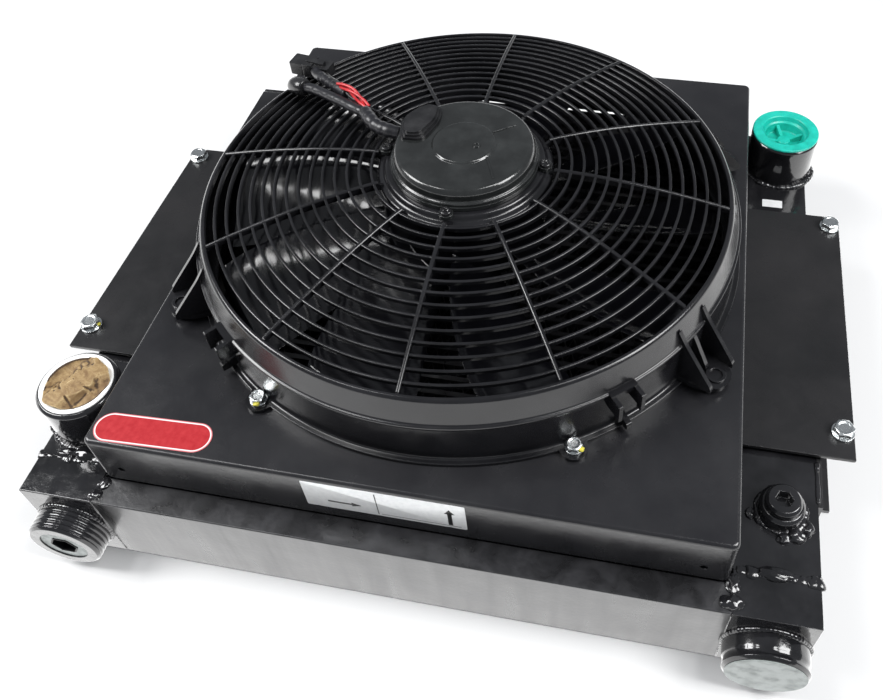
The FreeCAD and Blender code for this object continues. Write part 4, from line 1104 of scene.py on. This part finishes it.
def port_liner():
    """A thin white lip in the left port that leaves the boss's black edge showing."""
    low, high = box_mm("port_liner")
    middle = (low + high) / 2
    lip = high.z - 1.4
    outline = rounded([
        (21.6, low.z, 0.2), (22.1, low.z, 0.2), (22.1, lip, 0), (25.4, lip, 0.3), (25.4, high.z - 0.5, 0.5),
        (24, high.z - 0.2, 0.8), (21.6, high.z - 0.6, 0.6),
    ], 0.4)
    lip_ring = lathe("white_lip", [outline], (middle.x, middle.y, 0), "white_plastic", segments=160)
    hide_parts("port_liner")


def socket_plug():
    """The left front port's plug: a pale turned face round a hexagon socket coloured near-black as painted shade."""
    low, high = box_mm("left_front_plug")
    middle = (low + high) / 2
    place = Matrix(((1, 0, 0, middle.x), (0, 0, -1, low.y), (0, 1, 0, middle.z), (0, 0, 0, 1)))
    radius = (high.x - low.x) / 2
    outline = rounded([
        (0, -1, 0), (radius, -1, 0.2), (radius, 0.2 - (high.y - low.y), 0.2), (0, 0.2 - (high.y - low.y), 0),
    ], 0.2)
    face = add_piece("plug_face", *turned([outline], (middle.x, low.y, middle.z), "Y", 96), "port_face")
    corner = 16 / math.sqrt(3)
    hexagon = [(corner * math.cos(TURN * k / 6), corner * math.sin(TURN * k / 6)) for k in range(6)]
    wall = [(1.14 * x, 1.14 * y) for x, y in hexagon]
    hole = add_piece("hole", *prism(wall, -30, 5, place), "port_face")
    merge(face, [hole], "DIFFERENCE")
    round_edges(face, 0.3)
    # The socket's walls and floor carry the painted-shade near-black.
    tube_wall = add_piece("plug_socket", *prism(wall, -16, -0.4, place), "port_face", material=SOCKET_SHADE_BLACK)
    bore = add_piece("bore", *prism(hexagon, -12, 5, place), "port_face", material=SOCKET_SHADE_BLACK)
    merge(tube_wall, [bore], "DIFFERENCE")
    round_edges(tube_wall, 0.4)
    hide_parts("left_front_plug")


def thread_protector():
    """A turquoise cup plug: a broad flange, a stepped recess and four grip ribs inside it."""
    low, high = box_mm("thread_protector")
    x, y = (low.x + high.x) / 2, (low.y + high.y) / 2
    top = high.z
    flange = (high.x - low.x) / 2
    outline = rounded([
        (0, low.z, 0), (23.6, low.z, 1.5), (23.6, top - 2, 0), (flange, top - 2, 0.8), (flange, top + 0.2, 1.2),
        (19.6, top + 0.6, 1.4), (18.2, top - 4, 1.2), (16.6, top - 5, 0.8), (15.6, top - 13, 1.6),
        (6.5, top - 13.6, 1), (5.5, top - 10, 1), (0, top - 9.4, 0),
    ], 1)
    cup = add_piece("protector_cup", *turned([outline], (x, y, 0), segments=160), "green_plastic", "port_plug")
    ribs = []
    for k in range(4):
        rib = rounded([(4, top - 14, 0), (17, top - 14, 0), (17, top - 6.5, 1), (4, top - 10.5, 1)], 1)
        ribs.append(prism(rib, -1.3, 1.3, Matrix.Translation((x, y, 0)) @ upright(20 + 90 * k)))
    grip = add_piece("grip", *gather(*ribs), "green_plastic", "port_plug")
    merge(cup, [grip])
    round_edges(cup, 0.5, segments=3, angle=40)
    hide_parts("thread_protector")


# ---------------------------------------------------------------- cable

def tube(name, knots, size, slot, step=1.0, sides=16, lumps=0.0, pitch=3.0, flat=1.0):
    """A cable through knots. Lumps swell and pinch it as wrapped tape does."""
    path = curve_through(knots, step)
    sizes = []
    for i, place in enumerate(path):
        wrap = lumps * ((i * step / pitch) % 1.0 - 0.5)
        swell = lumps * noise.noise(place * 0.22)
        ends = min(1.0, 0.72 + 0.14 * min(i, len(path) - 1 - i))
        sizes.append((size + wrap * 0.5 + swell) * ends)
    points, faces = sweep(path, sizes, sides=sides, flat=flat)
    piece = add_piece(name, points, faces, slot)
    even_shading(piece)
    return piece


def cable_lead():
    """The motor's lead: a glossy boot, a taped sleeve over the grille, and wires beside it."""
    boot = tube("lead_boot", [
        (-50, 12.5, 205), (-61, 13, 206.5), (-72, 18, 206.5), (-79.5, 26.5, 205.8), (-86, 35, 204.8),
    ], 5.2, "cable_tape", lumps=0.7, pitch=6)
    taped = tube("taped_sleeve", [
        (-83, 32, 204.6), (-95.4, 39, 203), (-108, 47, 201.4), (-119, 53.8, 199.6), (-131, 61.5, 197.4),
        (-141, 67.3, 195.4), (-150, 71, 192.6),
    ], 4.0, "cable_tape", step=0.6, lumps=0.3, pitch=9)
    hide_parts("cable_sleeve")
    tube("second_sleeve", [
        (-107, 57, 201), (-116, 64.5, 200), (-126, 72.5, 198), (-135, 80, 196.5), (-143, 88.5, 193),
        (-149, 97, 191),
    ], 4.2, "cable_tape", step=0.6, lumps=0.5, pitch=7)
    strands = []
    for phase, lift in ((0, 0.6), (2.1, 0.2), (4.2, 0.9)):
        knots = []
        for k in range(9):
            share = k / 8
            x = -86 - 30 * share
            y = 40.5 + 24.5 * share + 1.5 * math.sin(math.pi * share)
            twist = phase + 4.4 * share
            knots.append((x + 1.5 * math.cos(twist), y + 1.5 * math.cos(twist),
                          203.2 + lift + 2.2 * math.sin(math.pi * share) + 1.3 * math.sin(twist)))
        path = curve_through(knots, 0.8)
        strands.append(sweep(path, [1.15] * len(path), sides=10))
    red = add_piece("red_strands", *gather(*strands), "red_insulation")
    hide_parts("red_wire")
    black = tube("black_strand", [
        (-84, 37.5, 203.6), (-94, 47, 202.4), (-104, 54, 202.2), (-116, 66, 203.5), (-128, 78, 199.5),
        (-138, 92, 193),
    ], 1.3, "black_insulation")
    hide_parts("black_wire")


def connectors():
    """A latched two-step connector and the elbow cap that the taped sleeve runs into."""
    low, high = box_mm("connector_socket")
    middle = (low + high) / 2
    place = spin(170, (middle.x, middle.y, 0))
    steps = []
    for start, end, half, inset in ((-17.5, -2, 6.4, 1.0), (-3, 6, 7.0, 0), (5, 17.5, 7.0, 0.6)):
        outline = rounded([(start, -half), (end, -half), (end, half), (start, half)], 1.2)
        steps.append(prism(outline, low.z + inset, high.z - inset, place))
    latch = rounded([(-12, -2.8), (4, -2.8), (4, 2.8), (-12, 2.8)], 1)
    steps.append(prism(latch, high.z - 2.5, high.z + 1.2, place))
    solids = [add_piece(f"socket_{index}", *step, "connector") for index, step in enumerate(steps)]
    socket = merge(solids[0], solids[1:])
    socket.name = "connector_housing"
    round_edges(socket, 0.5, segments=3)
    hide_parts("connector_socket")
    path = curve_through([(-147, 69.5, 193.6), (-153, 72.5, 192.4), (-158, 76, 190), (-161.5, 80, 185.5)], 0.7)
    sizes = []
    for i in range(len(path)):
        share = i / (len(path) - 1)
        sizes.append(7.4 * math.sqrt(max(0.02, 1 - (1.75 * share - 0.85) ** 4)) + 0.4 * (share < 0.12))
    cap = add_piece("elbow_cap", *sweep(path, sizes, sides=28), "connector")
    even_shading(cap)
    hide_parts("connector_pin")


# ---------------------------------------------------------------- labels

def on_front(outline, near, far):
    """Lay an outline drawn as (x, z) on the shroud's front, between two heights above it."""
    face = box_mm("airflow_label")[1].y
    stand = Matrix(((1, 0, 0, 0), (0, 0, -1, face), (0, 1, 0, 0), (0, 0, 0, 1)))
    return prism(outline, near, far, stand)


def airflow_label():
    """The white label on the shroud's front, with a divider and two arrows."""
    paper = on_front(rounded([(-61.4, 88.2), (45.6, 88.2), (45.6, 118.2), (-61.4, 118.2)], 1.2), 0, 0.3)
    sheet = add_piece("airflow_sheet", *paper, "white_label")
    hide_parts("airflow_label")
    marks = []
    for outline in (
        [(-13.1, 90), (-12.4, 90), (-12.4, 116), (-13.1, 116)],
        [(-46, 96.4), (-30, 96.4), (-30, 94.8), (-23.5, 97.3), (-30, 99.8), (-30, 98.2), (-46, 98.2)],
        [(33.7, 91.5), (36.6, 91.5), (36.6, 106), (38.6, 106), (35.1, 111.5), (31.7, 106), (33.7, 106)],
        [(-11, 90.4), (42, 90.4), (42, 90.8), (-11, 90.8)],
    ):
        marks.append(on_front(outline, 0.28, 0.34))
    add_piece("label_arrows", *gather(*marks), "white_label", material=MATERIALS["black_insulation"])


def badge():
    """The red badge: a flat pill on the deck."""
    low, high = box_mm("red_badge")
    outline = []
    for end in (0, 1):
        for k in range(25):
            angle = TURN * (end / 2 + k / 48 - 0.25)
            outline.append((29.75 - 59.5 * end + 11 * math.cos(angle), 11 * math.sin(angle)))
    centre = badge_centre()
    pill = add_piece("badge_pill", *prism(outline, low.z, high.z, spin(BADGE_TURN, (centre.x, centre.y, 0))),
                     "red_label")
    round_edges(pill, 0.12)
    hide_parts("red_badge")


# ---------------------------------------------------------------- stage

def floor():
    edit = bmesh.new()
    bmesh.ops.create_grid(edit, x_segments=1, y_segments=1, size=6)
    mesh = bpy.data.meshes.new("floor")
    edit.to_mesh(mesh)
    edit.free()
    ground = bpy.data.objects.new("floor", mesh)
    bpy.context.scene.collection.objects.link(ground)
    ground.location.z = -0.0005
    material = bpy.data.materials.new("pale_floor")
    material.use_nodes = True
    tree = material.node_tree
    shader = tree.nodes["Principled BSDF"]
    shader.inputs["Base Color"].default_value = (0.82, 0.82, 0.82, 1)
    shader.inputs["Roughness"].default_value = 0.9
    shader.inputs["Specular IOR Level"].default_value = 0.1
    glow = tree.nodes.new("ShaderNodeEmission")
    glow.inputs["Strength"].default_value = FLOOR_GLOW
    mix = tree.nodes.new("ShaderNodeMixShader")
    rays = tree.nodes.new("ShaderNodeLightPath")
    tree.links.new(rays.outputs["Is Glossy Ray"], mix.inputs[0])
    tree.links.new(shader.outputs[0], mix.inputs[1])
    tree.links.new(glow.outputs[0], mix.inputs[2])
    tree.links.new(mix.outputs[0], tree.nodes["Material Output"].inputs["Surface"])
    mesh.materials.append(material)


def area_light(name, place, aim, width, height, power, shown=True):
    data = bpy.data.lights.new(name, "AREA")
    data.shape = "RECTANGLE"
    data.size = width
    data.size_y = height
    data.energy = power
    light = bpy.data.objects.new(name, data)
    light.location = place
    light.rotation_euler = (Vector(aim) - Vector(place)).to_track_quat("-Z", "Y").to_euler()
    light.visible_camera = False
    bpy.context.scene.collection.objects.link(light)
    return light


FLOOR_GLOW = 2.1


def studio():
    area_light("left_softbox", (-1.20, -0.20, 1.15), (0, 0, 0.1), 0.65, 0.7, 24)
    area_light("right_softbox", (1.15, -0.15, 1.20), (0, 0, 0.1), 0.65, 0.7, 22)
    area_light("left_window", (-0.62, -0.32, 1.50), (-0.1, 0, 0.1), 0.34, 0.24, 3.2)
    area_light("right_window", (0.66, -0.30, 1.50), (0.1, 0, 0.1), 0.40, 0.22, 4)
    world = bpy.data.worlds.new("room")
    bpy.context.scene.world = world
    world.use_nodes = True
    sky = world.node_tree.nodes["Background"]
    sky.inputs["Color"].default_value = (0.86, 0.90, 0.96, 1)
    sky.inputs["Strength"].default_value = 0.30


def camera():
    data = bpy.data.cameras.new("camera")
    data.lens = 36.18
    data.sensor_width = 36
    data.sensor_fit = "HORIZONTAL"
    data.shift_x = -0.0796
    data.shift_y = -0.0949
    data.clip_start = 0.01
    eye = bpy.data.objects.new("camera", data)
    right = Vector((0.9819, 0.1874, -0.0281)).normalized()
    ahead = Vector((-0.1463, 0.6556, -0.7408)).normalized()
    up = right.cross(ahead)
    turn = Matrix((right, up, -ahead)).transposed()
    eye.matrix_world = Matrix.Translation((0.1359, -0.4699, 0.6196)) @ turn.to_4x4()
    bpy.context.scene.collection.objects.link(eye)
    bpy.context.scene.camera = eye


# ---------------------------------------------------------------- the cooler

for part in frame["record"]["subparts"]:
    for slot_holder in frame["nodes"][part["node"]].material_slots:
        slot_holder.material = MATERIALS[part["material_slot"]]

SOFT_EDGES = {
    "shroud": 0.5, "left_wing_plate": 0.6, "right_wing_plate": 0.6,
    "left_mounting_bracket": 0.6, "right_mounting_bracket": 0.6,
    "core_front_channel": 1.0, "core_rear_channel": 1.0,
    "left_tank": 1.6, "right_tank": 1.6, "left_end_block": 1.4, "right_end_block": 1.4,
    "left_tank_cap": 1.2, "right_tank_cap": 1.2,
    "left_front_boss": 0.4, "right_front_boss": 0.4, "right_front_blank": 0.5,
    "left_top_boss": 0.5, "right_top_boss": 0.5, "vent_boss": 0.5, "vent_plug": 0.5,
    "motor_can": 0.4, "wing_washers": 0.3, "fan_washers": 0.3,
}
for name, width in SOFT_EDGES.items():
    soften_node(name, width)

fan_housing()
impeller()
motor_cover()
lead_block()
motor_screws()
wing_places = hex_bolts("wing_bolt_set", "wing_bolts", 13, 5.3, 4)
fan_places = hex_bolts("fan_bolt_set", "fan_bolts", 10, 4, 3)
paint_mark("wing_mark", wing_places[0][0] + 6, wing_places[0][1] + 0.5, 83, 2.2, 3)
paint_mark("left_fan_mark", fan_places[0][0] + 0.6, fan_places[0][1] - 4.8, 128, 2.4, 9)
paint_mark("right_fan_mark", fan_places[2][0] + 4.6, fan_places[2][1] - 2, 128, 2.4, 17)
paper_bung()
port_liner()
socket_plug()
thread_protector()
cable_lead()
connectors()
airflow_label()
badge()
welds()

floor()
studio()
camera()
bpy.context.scene.view_settings.view_transform = "Standard"
